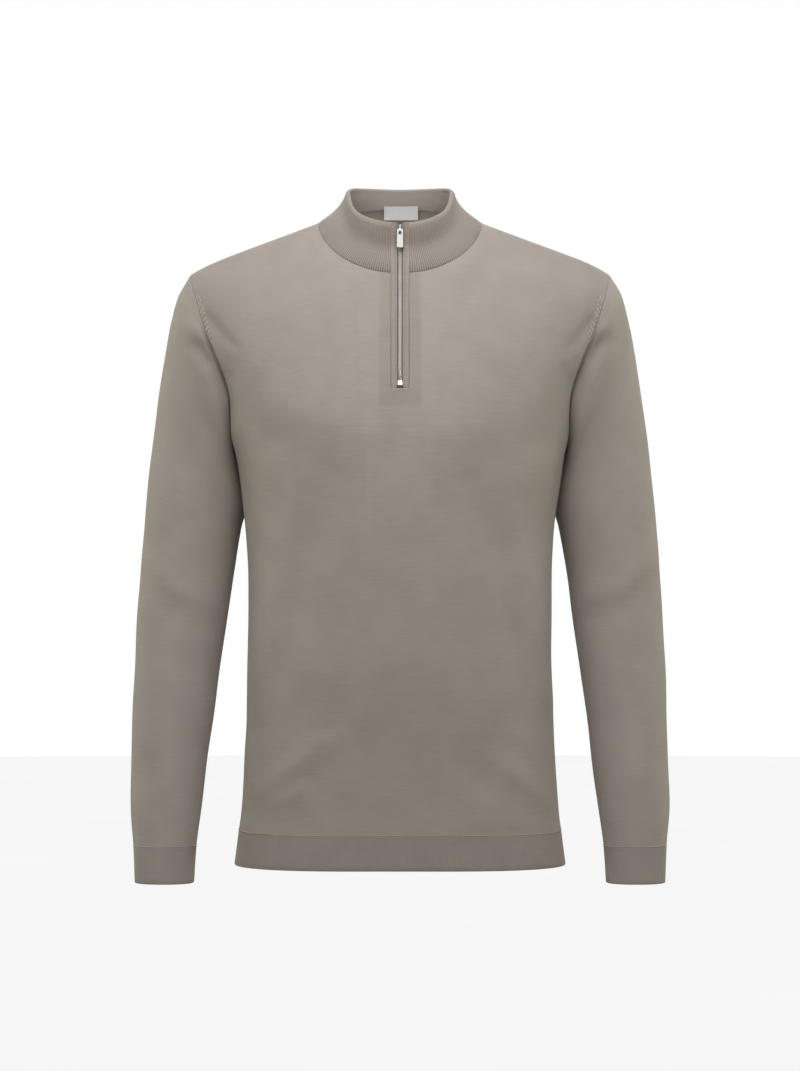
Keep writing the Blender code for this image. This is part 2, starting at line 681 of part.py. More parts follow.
# Depths are measured out of the panel's face along the closure's line.
STRIP_DEPTH = (-1.3, 0.6)
TAPE_DEPTH = (-2.2, -1.6)
CHAIN_DEPTH = (-1.3, 0.7)
STOP_DEPTH = (-1.3, 1.0)
PLATE_DEPTH = (1.2, 2.1)
HINGE_CLEARANCE = 1.35
PATH_TOP_Z = float(FRONT_PATH[-1, 1])
HINGE_Y = float(np.interp(HINGE_Z, FRONT_PATH[:, 1], FRONT_PATH[:, 0])) - PLATE_DEPTH[1] - HINGE_CLEARANCE

SLIDER_TOP = 6.6
SLIDER_BOTTOM = -3.2
SLIDER_HALF_WIDTH = 3.3
BRIDGE_HALF_WIDTH = 0.75
BRIDGE_INNER_RADIUS = 1.2
BRIDGE_OUTER_RADIUS = 2.1
PULL_TOP = 0.85
PULL_BOTTOM = -18.2
PULL_HALF_WIDTH = 3.3
PULL_HALF_THICKNESS = 0.55
PULL_CORNER = 0.8
EYE_TOP = -0.85
EYE_MIDDLE = -3.1
EYE_RADIUS = 1.75
EYE_NECK = 1.0
RECESS_HALF_WIDTH = 0.95
RECESS_TOP = -6.9
RECESS_BOTTOM = -15.6
RECESS_DEPTH = 0.25


def arc(middle, radius, start, end, count):
    """Points of an arc, angles in degrees."""
    angles = np.radians(np.linspace(start, end, count))
    return [(middle[0] + radius * math.cos(a), middle[1] + radius * math.sin(a)) for a in angles]


def extrude_outline(name, outline, low, high, plane, material):
    """A closed outline given a thickness: plane 'xz' thickens along y, 'yz' along x."""
    bm = bmesh.new()
    ends = []
    for depth in (low, high):
        if plane == "xz":
            corners = [(a, depth, b) for a, b in outline]
        else:
            corners = [(depth, a, b) for a, b in outline]
        ends.append([bm.verts.new([value * MM for value in corner]) for corner in corners])
    count = len(outline)
    bm.faces.new(ends[0])
    bm.faces.new(ends[1])
    for i in range(count):
        j = (i + 1) % count
        bm.faces.new((ends[0][i], ends[0][j], ends[1][j], ends[1][i]))
    return finish_mesh(name, bm, material)


def cut(body, cutter, operation):
    """Boolean of two objects, kept as a modifier on the first; the second is hidden."""
    modifier = body.modifiers.new(cutter.name, "BOOLEAN")
    modifier.operation = operation
    modifier.solver = "EXACT"
    modifier.object = cutter
    cutter.hide_render = True
    cutter.display_type = "WIRE"


def make_slider(material):
    """Slider: a shield-shaped plate, and a bridge that the pull's bar lies under."""
    plate_outline = [
        (-SLIDER_HALF_WIDTH, HINGE_Z + SLIDER_TOP - 1.2),
        (-SLIDER_HALF_WIDTH + 0.8, HINGE_Z + SLIDER_TOP),
        (-1.5, HINGE_Z + SLIDER_TOP - 0.5),
        (1.5, HINGE_Z + SLIDER_TOP - 0.5),
        (SLIDER_HALF_WIDTH - 0.8, HINGE_Z + SLIDER_TOP),
        (SLIDER_HALF_WIDTH, HINGE_Z + SLIDER_TOP - 1.2),
        (SLIDER_HALF_WIDTH - 0.5, HINGE_Z + SLIDER_BOTTOM + 0.6),
        (SLIDER_HALF_WIDTH - 1.1, HINGE_Z + SLIDER_BOTTOM),
        (-SLIDER_HALF_WIDTH + 1.1, HINGE_Z + SLIDER_BOTTOM),
        (-SLIDER_HALF_WIDTH + 0.5, HINGE_Z + SLIDER_BOTTOM + 0.6),
    ]
    plate_front = HINGE_Y + HINGE_CLEARANCE
    plate_back = plate_front + PLATE_DEPTH[1] - PLATE_DEPTH[0]
    slider = extrude_outline("zip_slider", plate_outline, plate_front, plate_back, "xz", material)
    middle = (HINGE_Y, HINGE_Z)
    foot = plate_front + 0.4
    bridge_outline = (
        [(foot, HINGE_Z - BRIDGE_OUTER_RADIUS)]
        + arc(middle, BRIDGE_OUTER_RADIUS, 270.0, 100.0, 10)
        + [(plate_front - 0.9, HINGE_Z + SLIDER_TOP - 0.9), (foot, HINGE_Z + SLIDER_TOP - 0.6)]
        + [(foot, HINGE_Z + BRIDGE_INNER_RADIUS)]
        + arc(middle, BRIDGE_INNER_RADIUS, 90.0, 270.0, 9)
        + [(foot, HINGE_Z - BRIDGE_INNER_RADIUS)]
    )
    bridge = extrude_outline(
        "slider_bridge", bridge_outline, -BRIDGE_HALF_WIDTH, BRIDGE_HALF_WIDTH, "yz", material
    )
    cut(slider, bridge, "UNION")
    return slider


def make_pull(material):
    """Pull tab, hanging from its bar; its origin is on the hinge's axis."""
    corner_x = PULL_HALF_WIDTH - PULL_CORNER
    outline = (
        arc((corner_x, PULL_TOP - 0.5), 0.5, 0.0, 90.0, 4)
        + arc((-corner_x, PULL_TOP - 0.5), 0.5, 90.0, 180.0, 4)
        + arc((-corner_x, PULL_BOTTOM + PULL_CORNER), PULL_CORNER, 180.0, 270.0, 5)
        + arc((corner_x, PULL_BOTTOM + PULL_CORNER), PULL_CORNER, 270.0, 360.0, 5)
    )
    thickness = (-PULL_HALF_THICKNESS, PULL_HALF_THICKNESS)
    pull = extrude_outline("zip_pull", outline, *thickness, "xz", material)
    eye_outline = [(EYE_NECK, EYE_TOP), (-EYE_NECK, EYE_TOP)]
    eye_outline += arc((0.0, EYE_MIDDLE), EYE_RADIUS, 170.0, 370.0, 13)
    eye = extrude_outline("pull_eye", eye_outline, -2.0, 2.0, "xz", material)
    recess_outline = (
        arc((0.0, RECESS_TOP - RECESS_HALF_WIDTH), RECESS_HALF_WIDTH, 0.0, 180.0, 7)
        + arc((0.0, RECESS_BOTTOM + RECESS_HALF_WIDTH), RECESS_HALF_WIDTH, 180.0, 360.0, 7)
    )
    recess_floor = RECESS_DEPTH - PULL_HALF_THICKNESS
    recess = extrude_outline("pull_recess", recess_outline, -2.0, recess_floor, "xz", material)
    cut(pull, eye, "DIFFERENCE")
    cut(pull, recess, "DIFFERENCE")
    for piece in (pull, eye, recess):
        piece.location = (0.0, HINGE_Y * MM, HINGE_Z * MM)
    return pull


# ---------------------------------------------------------------- neck label

LABEL_X = (-17.5, 19.7)
LABEL_TOP_Z = 23.0
LABEL_BOTTOM_Z = 7.4
LABEL_THICKNESS = 0.6


def make_label(material):
    """Woven label, sewn on by its top edge inside the back of the neck, hanging straight down."""
    lower, lower_out = collar_row(241, 0.0)
    upper, upper_out = collar_row(241, 0.5)
    lower, upper = lower - COLLAR_WALL * lower_out, upper - COLLAR_WALL * upper_out
    share = (LABEL_TOP_Z - lower[:, 2:]) / (upper[:, 2:] - lower[:, 2:])
    seat = (lower + (upper - lower) * share)[80:161]
    x = np.linspace(*LABEL_X, 9)
    y = np.interp(-x, -seat[:, 0], seat[:, 1]) - 1.5 * SEAM_GAP
    corners = []
    for z, depth in (
        (LABEL_BOTTOM_Z, 0.0), (LABEL_TOP_Z, 0.0), (LABEL_TOP_Z, 1.0), (LABEL_BOTTOM_Z, 1.0)
    ):
        corners.append(np.stack([x, y - depth * LABEL_THICKNESS, np.full(9, z)], axis=-1))
    return make_band("neck_label", corners, False, material)


# ---------------------------------------------------------------- meshes and materials

def finish_mesh(name, bm, material):
    """Object from a bmesh, its faces turned out and shaded smooth but for sharp edges."""
    bmesh.ops.recalc_face_normals(bm, faces=bm.faces)
    mesh = bpy.data.meshes.new(name)
    bm.to_mesh(mesh)
    bm.free()
    mesh.shade_smooth()
    mesh.set_sharp_from_angle(angle=math.radians(50.0))
    mesh.materials.append(material)
    body = bpy.data.objects.new(name, mesh)
    bpy.context.collection.objects.link(body)
    return body


def mesh_object(name, points, faces, material):
    """Object from points in millimetres and faces; points that no face uses are dropped."""
    bm = bmesh.new()
    verts = [bm.verts.new([float(value) * MM for value in point]) for point in points]
    for face in faces:
        bm.faces.new([verts[i] for i in face])
    loose = [vert for vert in bm.verts if not vert.link_faces]
    bmesh.ops.delete(bm, geom=loose, context="VERTS")
    return finish_mesh(name, bm, material)


def make_shell(name, outer, inner, keep, closed, material):
    """Closed wall between two grids of points. keep marks the cells that are cloth.

    The grid's columns close into a tube when closed is true.
    """
    rows, columns = outer.shape[:2]
    number = np.arange(rows * columns).reshape(rows, columns)
    if closed:
        number = np.concatenate([number, number[:, :1]], axis=1)
    cells_down, cells_across = keep.shape
    faces = []
    for r, c in np.argwhere(keep):
        ring = [number[r, c], number[r, c + 1], number[r + 1, c + 1], number[r + 1, c]]
        faces.append(ring)
        faces.append([i + rows * columns for i in reversed(ring)])
        for k, (dr, dc) in enumerate(((-1, 0), (0, 1), (1, 0), (0, -1))):
            row, column = r + dr, c + dc
            if closed:
                column %= cells_across
            inside = 0 <= row < cells_down and 0 <= column < cells_across
            if inside and keep[row, column]:
                continue
            a, b = ring[k], ring[(k + 1) % 4]
            faces.append([b, a, a + rows * columns, b + rows * columns])
    points = np.concatenate([outer.reshape(-1, 3), inner.reshape(-1, 3)])
    return mesh_object(name, points, faces, material)


def strip_faces(first, second, closed):
    """Triangles between two rows of point numbers that may differ in count."""
    first_steps = len(first) if closed else len(first) - 1
    second_steps = len(second) if closed else len(second) - 1
    faces = []
    i = j = 0
    while i < first_steps or j < second_steps:
        a, b = first[i % len(first)], second[j % len(second)]
        first_next = j == second_steps or (i + 1) * second_steps <= (j + 1) * first_steps
        if i < first_steps and first_next:
            faces.append((a, first[(i + 1) % len(first)], b))
            i += 1
        else:
            faces.append((a, second[(j + 1) % len(second)], b))
            j += 1
    return faces


def make_band(name, rows, closed, material):
    """Closed body whose section has one point in each row; an open band gets flat ends."""
    numbers = []
    total = 0
    for row in rows:
        numbers.append(list(range(total, total + len(row))))
        total += len(row)
    faces = []
    for first, second in zip(numbers, numbers[1:] + numbers[:1]):
        faces += strip_faces(first, second, closed)
    if not closed:
        faces.append([row[0] for row in reversed(numbers)])
        faces.append([row[-1] for row in numbers])
    return mesh_object(name, np.concatenate(rows), faces, material)


def make_material(name, color, roughness, metallic):
    """A Principled material of one colour."""
    material = bpy.data.materials.new(name)
    material.use_nodes = True
    shader = material.node_tree.nodes["Principled BSDF"]
    shader.inputs["Base Color"].default_value = (*color, 1.0)
    shader.inputs["Roughness"].default_value = roughness
    shader.inputs["Metallic"].default_value = metallic
    material.diffuse_color = (*color, 1.0)
    return material


def main():
    """Clear the scene and make every piece of the sweater."""
    for leftover in list(bpy.data.objects):
        bpy.data.objects.remove(leftover)
    knit = make_material("taupe_knit", (0.27, 0.235, 0.20), 0.9, 0.0)
    rib = make_material("taupe_rib", (0.25, 0.215, 0.185), 0.9, 0.0)
    tape = make_material("taupe_tape", (0.24, 0.21, 0.18), 0.8, 0.0)
    metal = make_material("polished_metal", (0.80, 0.79, 0.77), 0.22, 1.0)
    woven = make_material("pale_woven_label", (0.58, 0.58, 0.55), 0.7, 0.0)

    make_panel("front_panel", FRONT, knit)
    make_panel("back_panel", BACK, knit)
    make_hem_band(rib)
    make_collar(rib)
    for side, hand in (("right", 1.0), ("left", -1.0)):
        make_sleeve("sleeve_" + side, hand, knit)
        make_cuff("cuff_" + side, hand, rib)
        strip_x = sorted((hand * STRIP_INNER_X, hand * STRIP_OUTER_X))
        tape_x = sorted((hand * SEAM_GAP, hand * STRIP_OUTER_X))
        strip_z = (ZIP_BOTTOM_Z + SEAM_GAP, PATH_TOP_Z)
        make_ribbon("placket_" + side, strip_x, STRIP_DEPTH, strip_z, 26, rib)
        make_ribbon("zip_tape_" + side, tape_x, TAPE_DEPTH, strip_z, 26, tape)
    chain_x = (-CHAIN_HALF_WIDTH, CHAIN_HALF_WIDTH)
    chain_z = (STOP_TOP_Z + SEAM_GAP, HINGE_Z + SLIDER_TOP - 1.0)
    make_ribbon("zip_chain", chain_x, CHAIN_DEPTH, chain_z, 26, metal)
    stop_x = (-STOP_HALF_WIDTH, STOP_HALF_WIDTH)
    make_ribbon("zip_stop", stop_x, STOP_DEPTH, (STOP_BOTTOM_Z, STOP_TOP_Z), 2, metal)
    make_slider(metal)
    make_pull(metal)
    make_label(woven)


main()
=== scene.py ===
"""Fine-knit sweater with a quarter zip: its cloth, ribs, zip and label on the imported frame.

Frame: +Z is up, the front faces -Y, and +X is on the right when it is seen from the front.
Shapes are worked out in millimetres, and become metres when a mesh is made.
"""

import math

import bmesh
import bpy
import numpy as np
from bpy.props import FloatProperty, FloatVectorProperty, IntProperty, PointerProperty
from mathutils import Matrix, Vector


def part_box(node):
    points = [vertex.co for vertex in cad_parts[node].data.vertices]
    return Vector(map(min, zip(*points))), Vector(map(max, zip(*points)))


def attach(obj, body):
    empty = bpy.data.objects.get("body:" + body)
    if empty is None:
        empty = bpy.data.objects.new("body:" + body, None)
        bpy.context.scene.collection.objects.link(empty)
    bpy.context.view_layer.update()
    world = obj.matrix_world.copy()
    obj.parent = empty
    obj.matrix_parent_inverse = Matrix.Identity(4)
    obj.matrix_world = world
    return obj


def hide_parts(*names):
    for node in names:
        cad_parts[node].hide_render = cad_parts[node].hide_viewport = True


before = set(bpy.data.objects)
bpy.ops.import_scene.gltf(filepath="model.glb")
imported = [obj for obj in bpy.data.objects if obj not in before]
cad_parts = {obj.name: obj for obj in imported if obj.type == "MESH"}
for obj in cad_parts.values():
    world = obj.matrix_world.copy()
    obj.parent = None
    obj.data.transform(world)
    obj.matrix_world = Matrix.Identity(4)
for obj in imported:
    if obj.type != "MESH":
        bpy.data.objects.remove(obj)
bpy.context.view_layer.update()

bl_info = {
    "name": "Quarter-zip sweater",
    "version": (1, 0, 0),
    "blender": (4, 5, 0),
    "location": "3D View > Sidebar > Sweater",
    "description": "Makes the cloth, ribs, zip and label of a fine-knit sweater on its frame",
    "category": "Object",
}

MM = 0.001
FULL_TURN = 2.0 * math.pi
FRONT, BACK = -1, 1
HANDS = (("right", 1.0), ("left", -1.0))
# a distance beyond the reach of every seam
FAR = 99.0

# ---------------------------------------------------------------- the frame's own measures

HEM_EDGE_Z = -691.0
HEM_SEAM_Z = -653.8
UNDERARM_Z = -238.0
SIDE_SEAM_ANGLE = math.radians(96.0)
NECK_SIDE = np.array([88.0, 4.0, -1.0])
NECK_FRONT = np.array([0.0, -70.0, -60.0])
NECK_BACK = np.array([0.0, 76.0, 20.0])
SHOULDER_TIP = np.array([226.0, 8.0, -57.0])
SHOULDER_DROP = 5.0
NECK_SHARE = 0.5
NECK_FULLNESS = 0.72
ARMHOLE_DEPTH = 61.0
ARMHOLE_SCOOP = {FRONT: 10.0, BACK: 5.0}
COLLAR_HALF_WIDTH = 58.7
COLLAR_TOP_SIDE_Y = 2.0
COLLAR_TOP_FRONT = np.array([-64.0, -6.0])
COLLAR_TOP_BACK_Y = 64.0
COLLAR_WALL = 3.0
BAND_WALL = 2.2
CUFF_SEAM_WAY = 604.0
CUFF_EDGE_WAY = 643.5
CUFF_SEAM_Z = -670.0
CUFF_EDGE_Z = -709.5
SLEEVE_HEAD = 60.0
SLOT_HALF_WIDTH = 9.7
SLOT_S = 0.035
ZIP_BOTTOM_Z = -183.5
STOP_TOP_Z = -176.2
HINGE_Z = -14.3
SEAM_GAP = 0.3
STRIP_X = (3.0, 9.4)
TAPE_DEPTH = (-2.2, -1.6)

# ---------------------------------------------------------------- sizes of the finished cloth

RIB_PITCH = 2.2
BAND_RIB_HEIGHT = 0.24
HEM_RIB_STEPS, CUFF_RIB_STEPS, COLLAR_RIB_STEPS = 5, 6, 8
SEAM_REACH = 7.0
RELAX_ROUNDS = 120
# how far the front sinks over the hem band, from which height, over what height and half width
HANG_DEPTH, HANG_TOP_Z, HANG_HEIGHT, HANG_HALF_WIDTH = 14.0, -445.0, 205.0, 110.0
# ridges and dips: height or depth, distance from the seam or the collar's top, half width
COLLAR_TROUGH = (5.2, 26.0, 13.5)
COLLAR_BEAD = (0.8, 3.0, 3.0)
BAND_BEAD = (0.35, 1.5, 0.8)
ARMHOLE_RIDGE = (1.7, 6.0, 5.0)
SLEEVE_TUCKS = ((4.6, 4.5, 4.0), (3.0, 14.0, 12.0))
# how cloth rolls in at its edges: over what length, and by what share of its thickness
ROLLS = {
    "linked": (1.6, 0.42), "banded": (0.9, 0.28), "slot": (1.4, 0.42), "band": (0.8, 0.2),
    "collar": (1.4, 0.35),
}
# where the sleeves begin to sink in at the armholes, and the height over which they do
ARMHOLE_LOW_Z, ARMHOLE_LOW_FADE = -116.0, 26.0
# the cloth beside the zip with a second layer behind it: its half width, where it ends and the step
# that raises it; over the same place it is painted darker, as painted shade
FACING_HALF_WIDTH, FACING_END_Z, FACING_STEP = 24.0, -202.0, 0.5

# ---------------------------------------------------------------- sizes of the zip and the sewing

CORD_X, CORD_DEPTH, CORD_RADIUS = 2.5, -1.0, 0.34
TOOTH_X, TOOTH_HALF_WIDTH, TOOTH_HALF_HEIGHT = 0.85, 1.05, 0.38
TOOTH_TONE = (0.88, 0.86, 0.80)
SHARP_ANGLE = math.radians(35.0)
BEVEL_WIDTH = 0.00014
CHAIN_PITCH = 2.1
CHAIN_RADIUS, CHAIN_BOW = 0.42, 0.2
ZIP_ROW_Z = -185.6
# raised and sunk wales of the strips: x, half width and height
STRIP_WALES = (
    (7.9, 0.7, 0.45), (6.9, 0.4, -0.45), (5.9, 0.6, 0.3), (4.7, 0.35, -0.55), (3.7, 0.5, 0.55),
)

# ---------------------------------------------------------------- tables of sections

# height, half width, depth to the front, depth to the back, squareness
TORSO = (
    (-700.0, 179.2, 108.0, 114.0, 2.4),
    (-653.8, 173.3, 110.0, 115.0, 2.4),
    (-600.0, 168.9, 112.0, 114.0, 2.4),
    (-540.0, 165.2, 114.0, 110.0, 2.4),
    (-480.0, 163.5, 117.0, 106.0, 2.4),
    (-410.0, 162.7, 120.0, 106.0, 2.35),
    (-360.0, 163.8, 123.0, 112.0, 2.25),
    (-326.0, 166.2, 125.0, 118.0, 2.2),
    (-290.0, 171.3, 127.0, 125.0, 2.2),
    (-238.0, 178.3, 129.0, 133.0, 2.25),
    (-200.0, 181.5, 128.0, 136.0, 2.3),
)

# way down the arm, outer x, outer z, inner x, inner z, middle y, half depth, squareness
SLEEVE = (
    (0.0, 226.0, -57.0, 177.6, -238.0, 13.0, 61.0, 2.0),
    (22.0, 238.5, -76.0, 178.7, -247.5, 19.0, 61.0, 2.05),
    (50.0, 247.3, -104.0, 176.6, -259.0, 25.0, 60.0, 2.1),
    (85.0, 254.3, -140.0, 173.8, -273.0, 31.0, 58.5, 2.1),
    (125.0, 261.5, -183.0, 170.2, -293.0, 35.0, 57.0, 2.15),
    (165.0, 266.8, -222.0, 168.0, -312.0, 37.0, 56.0, 2.15),
    (205.0, 271.2, -264.0, 172.0, -328.0, 36.0, 54.5, 2.2),
    (245.0, 275.2, -303.0, 176.3, -350.0, 35.0, 53.0, 2.2),
    (290.0, 279.2, -352.0, 181.0, -380.0, 32.0, 51.0, 2.2),
    (350.0, 283.5, -415.0, 186.6, -425.0, 26.0, 47.5, 2.2),
    (430.0, 287.2, -497.0, 197.0, -499.0, 14.0, 41.5, 2.2),
    (510.0, 289.0, -580.0, 207.3, -581.0, 0.0, 35.5, 2.2),
    (570.0, 289.2, -634.0, 213.8, -634.5, -9.0, 31.0, 2.2),
    (604.0, 285.9, CUFF_SEAM_Z, 218.4, CUFF_SEAM_Z, -15.0, 27.5, 2.2),
    (643.5, 284.0, CUFF_EDGE_Z, 221.0, CUFF_EDGE_Z, -19.0, 26.5, 2.2),
)

# place across the panel, front's and back's angle above level, swing towards the neck, fullness
YOKE = (
    (0.0, 62.0, 52.0, 0.0, 0.95),
    (0.25, 50.0, 42.0, 12.0, 0.98),
    (0.4, 37.0, 24.0, 34.0, 1.0),
    (0.5, 24.0, 12.0, 45.0, 1.0),
    (0.62, 14.0, 9.0, 28.0, 1.05),
    (0.8, 4.0, 3.0, 9.0, 1.1),
    (1.0, 0.0, 0.0, 0.0, 1.12),
)
YOKE_START_DROP = 55.0

# ---------------------------------------------------------------- folds placed one by one

# panel, half width of the fold, and its line as x, z and height out of the panel
FOLDS = (
    (FRONT, 16.0, ((-104, -272, 1.2), (-142, -447, 3.2), (-150, -520, 1.6))),
    (FRONT, 15.0, ((108, -282, 1.0), (140, -440, 2.9), (150, -512, 1.4))),
    (FRONT, 17.0, ((-84, -276, -1.2), (-105, -363, -3.6), (-114, -447, -4.0), (-136, -535, -1.4))),
    (FRONT, 17.0, ((90, -284, -1.0), (108, -372, -3.2), (118, -452, -3.8), (134, -528, -1.2))),
    (FRONT, 36.0, ((-108, -206, 3.6), (-66, -220, 4.4))),
    (FRONT, 34.0, ((66, -222, 4.0), (106, -208, 3.4))),
    (FRONT, 17.0, ((-178, -164, -2.4), (-140, -236, -3.0))),
    (FRONT, 16.0, ((180, -168, -2.2), (146, -240, -2.6))),
    (FRONT, 7.0, ((-206, -106, -2.4), (-178, -136, -2.2))),
    (FRONT, 7.0, ((204, -110, -2.0), (179, -139, -1.8))),
    (FRONT, 6.5, ((-202, -124, 1.8), (-186, -160, 2.2))),
    (FRONT, 6.5, ((201, -128, 1.6), (185, -162, 1.9))),
    (FRONT, 38.0, ((-6, -262, -2.8), (8, -268, -2.4))),
    (FRONT, 12.0, ((-146, -610, 1.6), (-112, -580, 2.8), (-78, -552, 1.2))),
    (FRONT, 10.0, ((-130, -622, 1.2), (-104, -606, 1.6))),
    (FRONT, 11.0, ((150, -618, 1.4), (124, -592, 2.4), (100, -572, 1.0))),
    (FRONT, 14.0, ((-90, -598, -1.4), (-50, -566, -1.0))),
    (FRONT, 14.0, ((92, -606, -1.2), (66, -580, -1.0))),
    (BACK, 22.0, ((-112, -226, -3.2), (-84, -330, -5.2), (-66, -430, -4.0))),
    (BACK, 20.0, ((106, -216, -3.0), (86, -320, -4.8), (72, -410, -3.6))),
    (BACK, 13.0, ((-132, -452, 2.4), (-30, -438, 4.8), (96, -452, 2.4))),
    (BACK, 11.0, ((-88, -488, 1.8), (10, -478, 4.2), (128, -486, 2.2))),
    (BACK, 12.0, ((-118, -524, 1.4), (-34, -514, 2.8), (40, -520, 1.4))),
    (BACK, 15.0, ((-180, -150, -3.0), (-138, -240, -3.6))),
    (BACK, 14.0, ((182, -156, -2.8), (144, -236, -3.4))),
    (BACK, 12.0, ((-158, -176, 2.0), (-118, -244, 2.4))),
    (BACK, 11.0, ((-152, -560, 2.0), (-98, -590, 2.8), (-62, -634, 1.2))),
    (BACK, 12.0, ((142, -548, 1.8), (90, -584, 3.0), (50, -624, 1.2))),
    (BACK, 26.0, ((-40, 2, 1.2), (36, 0, 1.0))),
)

# the same for the +X sleeve, whose twin's are a little lower
SLEEVE_FOLDS = (
    (FRONT, 7.0, ((224, -106, 0.9), (213, -120, 1.8))),
    (FRONT, 8.0, ((221, -130, -2.6), (206, -146, -3.4))),
    (FRONT, 29.0, ((258, -190, 1.8), (257, -300, 4.4), (257, -420, 3.6), (262, -540, 1.6))),
    (FRONT, 12.0, ((276, -352, 0.8), (236, -392, 1.6), (204, -404, 0.9))),
    (FRONT, 11.0, ((272, -386, -0.7), (238, -420, -1.3), (208, -430, -0.7))),
    (FRONT, 13.0, ((270, -560, 0.6), (246, -600, 1.2), (232, -640, 0.5))),
    (BACK, 9.0, ((222, -128, -1.4), (204, -150, -2.2))),
    (BACK, 13.0, ((274, -332, 1.2), (232, -360, 2.2), (196, -366, 1.2))),
    (BACK, 11.0, ((272, -364, -1.0), (234, -392, -1.8), (200, -398, -1.0))),
    (BACK, 12.0, ((270, -404, 0.8), (238, -426, 1.5), (208, -432, 0.8))),
    (BACK, 13.0, ((262, -560, 0.8), (244, -604, 1.4), (232, -646, 0.6))),
)


# ---------------------------------------------------------------- curves and tables

def unit(vectors):
    """Vectors scaled to length 1."""
    return vectors / np.linalg.norm(vectors, axis=-1, keepdims=True)


def level_unit(vectors):
    """Vectors laid level and scaled to length 1."""
    return unit(vectors * np.array([1.0, 1.0, 0.0]))


def smoothstep(value):
    """0 below 0, 1 above 1, and 3v^2 - 2v^3 between."""
    value = np.clip(value, 0.0, 1.0)
    return value * value * (3.0 - 2.0 * value)


def bell(value, middle, width):
    """1 at the middle, falling off to both sides: exp(-((value - middle) / width)^2)."""
    return np.exp(-(((value - middle) / width) ** 2))


def ridge(value, shape):
    """A bell of the given height, place and half width."""
    height, middle, half_width = shape
    return height * bell(value, middle, half_width)


def signed_power(value, power):
    """A power of the size of a value, with the value's own sign."""
    return np.sign(value) * np.abs(value) ** power


def run_length(points):
    """Length along a line of points, from 0 at its first."""
    return np.concatenate([[0.0], np.cumsum(np.linalg.norm(np.diff(points, axis=0), axis=1))])


def even_spacing(curve, start, end, count):
    """Parameters that split a curve into equal lengths: its summed chords, read backwards."""
    fine = np.linspace(start, end, 1601)
    length = run_length(curve(fine))
    return np.interp(np.linspace(0.0, length[-1], count), length, fine)


def hermite(start, end, start_slope, end_slope, u):
    """Cubic from start to end as u runs from 0 to 1, leaving and arriving with the given slopes."""
    return (
        (2 * u**3 - 3 * u**2 + 1) * start
        + (u**3 - 2 * u**2 + u) * start_slope
        + (3 * u**2 - 2 * u**3) * end
        + (u**3 - u**2) * end_slope
    )


def read_table(rows, at):
    """The columns of a table at values of its first one: a cubic through every row."""
    table = np.array(rows, float)
    keys, values = table[:, 0], table[:, 1:]
    slopes = np.gradient(values, keys, axis=0)
    at = np.clip(np.asarray(at, float), keys[0], keys[-1])
    row = np.clip(np.searchsorted(keys, at) - 1, 0, len(keys) - 2)
    span = (keys[row + 1] - keys[row])[..., None]
    u = (at - keys[row])[..., None] / span
    return hermite(values[row], values[row + 1], slopes[row] * span, slopes[row + 1] * span, u)


def rounded(angle, across, along, squareness):
    """Radius of a superellipse: (|sin/across|^n + |cos/along|^n)^(-1/n)."""
    return (
        np.abs(np.sin(angle) / across) ** squareness + np.abs(np.cos(angle) / along) ** squareness
    ) ** (-1.0 / squareness)


def mirrored(points, hand):
    """Points of the +X side, or the same ones on the -X side."""
    return points * np.array([hand, 1.0, 1.0])


# ---------------------------------------------------------------- body surfaces

def torso_point(height, angle):
    """Level section of the torso: a superellipse, its depth read to the front or to the back."""
    half_width, front, back, squareness = np.moveaxis(read_table(TORSO, height), -1, 0)
    depth = np.where(np.cos(angle) > 0.0, front, back)
    reach = rounded(angle, half_width, depth, squareness)
    return np.stack([reach * np.sin(angle), -reach * np.cos(angle), height + 0.0 * angle], axis=-1)


def side_angle(face, s):
    """Angle round the torso of a panel's column; s is 0 at the panel's middle, 1 at the side."""
    if face == FRONT:
        return SIDE_SEAM_ANGLE * s
    return math.pi - (math.pi - SIDE_SEAM_ANGLE) * s


UNDERARM = torso_point(np.array(UNDERARM_Z), np.array(SIDE_SEAM_ANGLE))
ARM_AXIS = unit(np.cross(np.array([0.0, 1.0, 0.0]), unit(SHOULDER_TIP - UNDERARM)))
ARMHOLE_MIDDLE = (SHOULDER_TIP + UNDERARM) / 2.0


def armhole_point(face, climb):
    """Armhole seam: half an ellipse from the underarm (climb 0) to the shoulder tip (climb 1)."""
    turn = np.pi * np.asarray(climb, float)
    rise = (1.0 - np.cos(turn)) / 2.0
    point = UNDERARM + (SHOULDER_TIP - UNDERARM) * rise[..., None]
    point[..., 1] += face * ARMHOLE_DEPTH * np.sin(turn)
    point[..., 0] -= ARMHOLE_SCOOP[face] * np.sin(np.pi * (1.0 - rise) ** 1.8) ** 2
    return point


def armhole_outward(points):
    """Direction out of the armhole's loop, square to the arm's axis."""
    away = points - ARMHOLE_MIDDLE
    return unit(away - (away @ ARM_AXIS)[..., None] * ARM_AXIS)


def armhole_low(z):
    """0 on the upper part of the armhole and 1 on its lower part, where the sleeve sinks in."""
    return smoothstep((ARMHOLE_LOW_Z - z) / ARMHOLE_LOW_FADE)


def neckline_point(face, turn):
    """Collar seam: x a sine of the turn, y and z powers of its cosine."""
    middle = NECK_FRONT if face == FRONT else NECK_BACK
    near = np.cos(turn)
    return np.stack([
        NECK_SIDE[0] * np.sin(turn),
        NECK_SIDE[1] + (middle[1] - NECK_SIDE[1]) * signed_power(near, NECK_FULLNESS),
        NECK_SIDE[2] + (middle[2] - NECK_SIDE[2]) * signed_power(near, 1.08),
    ], axis=-1)


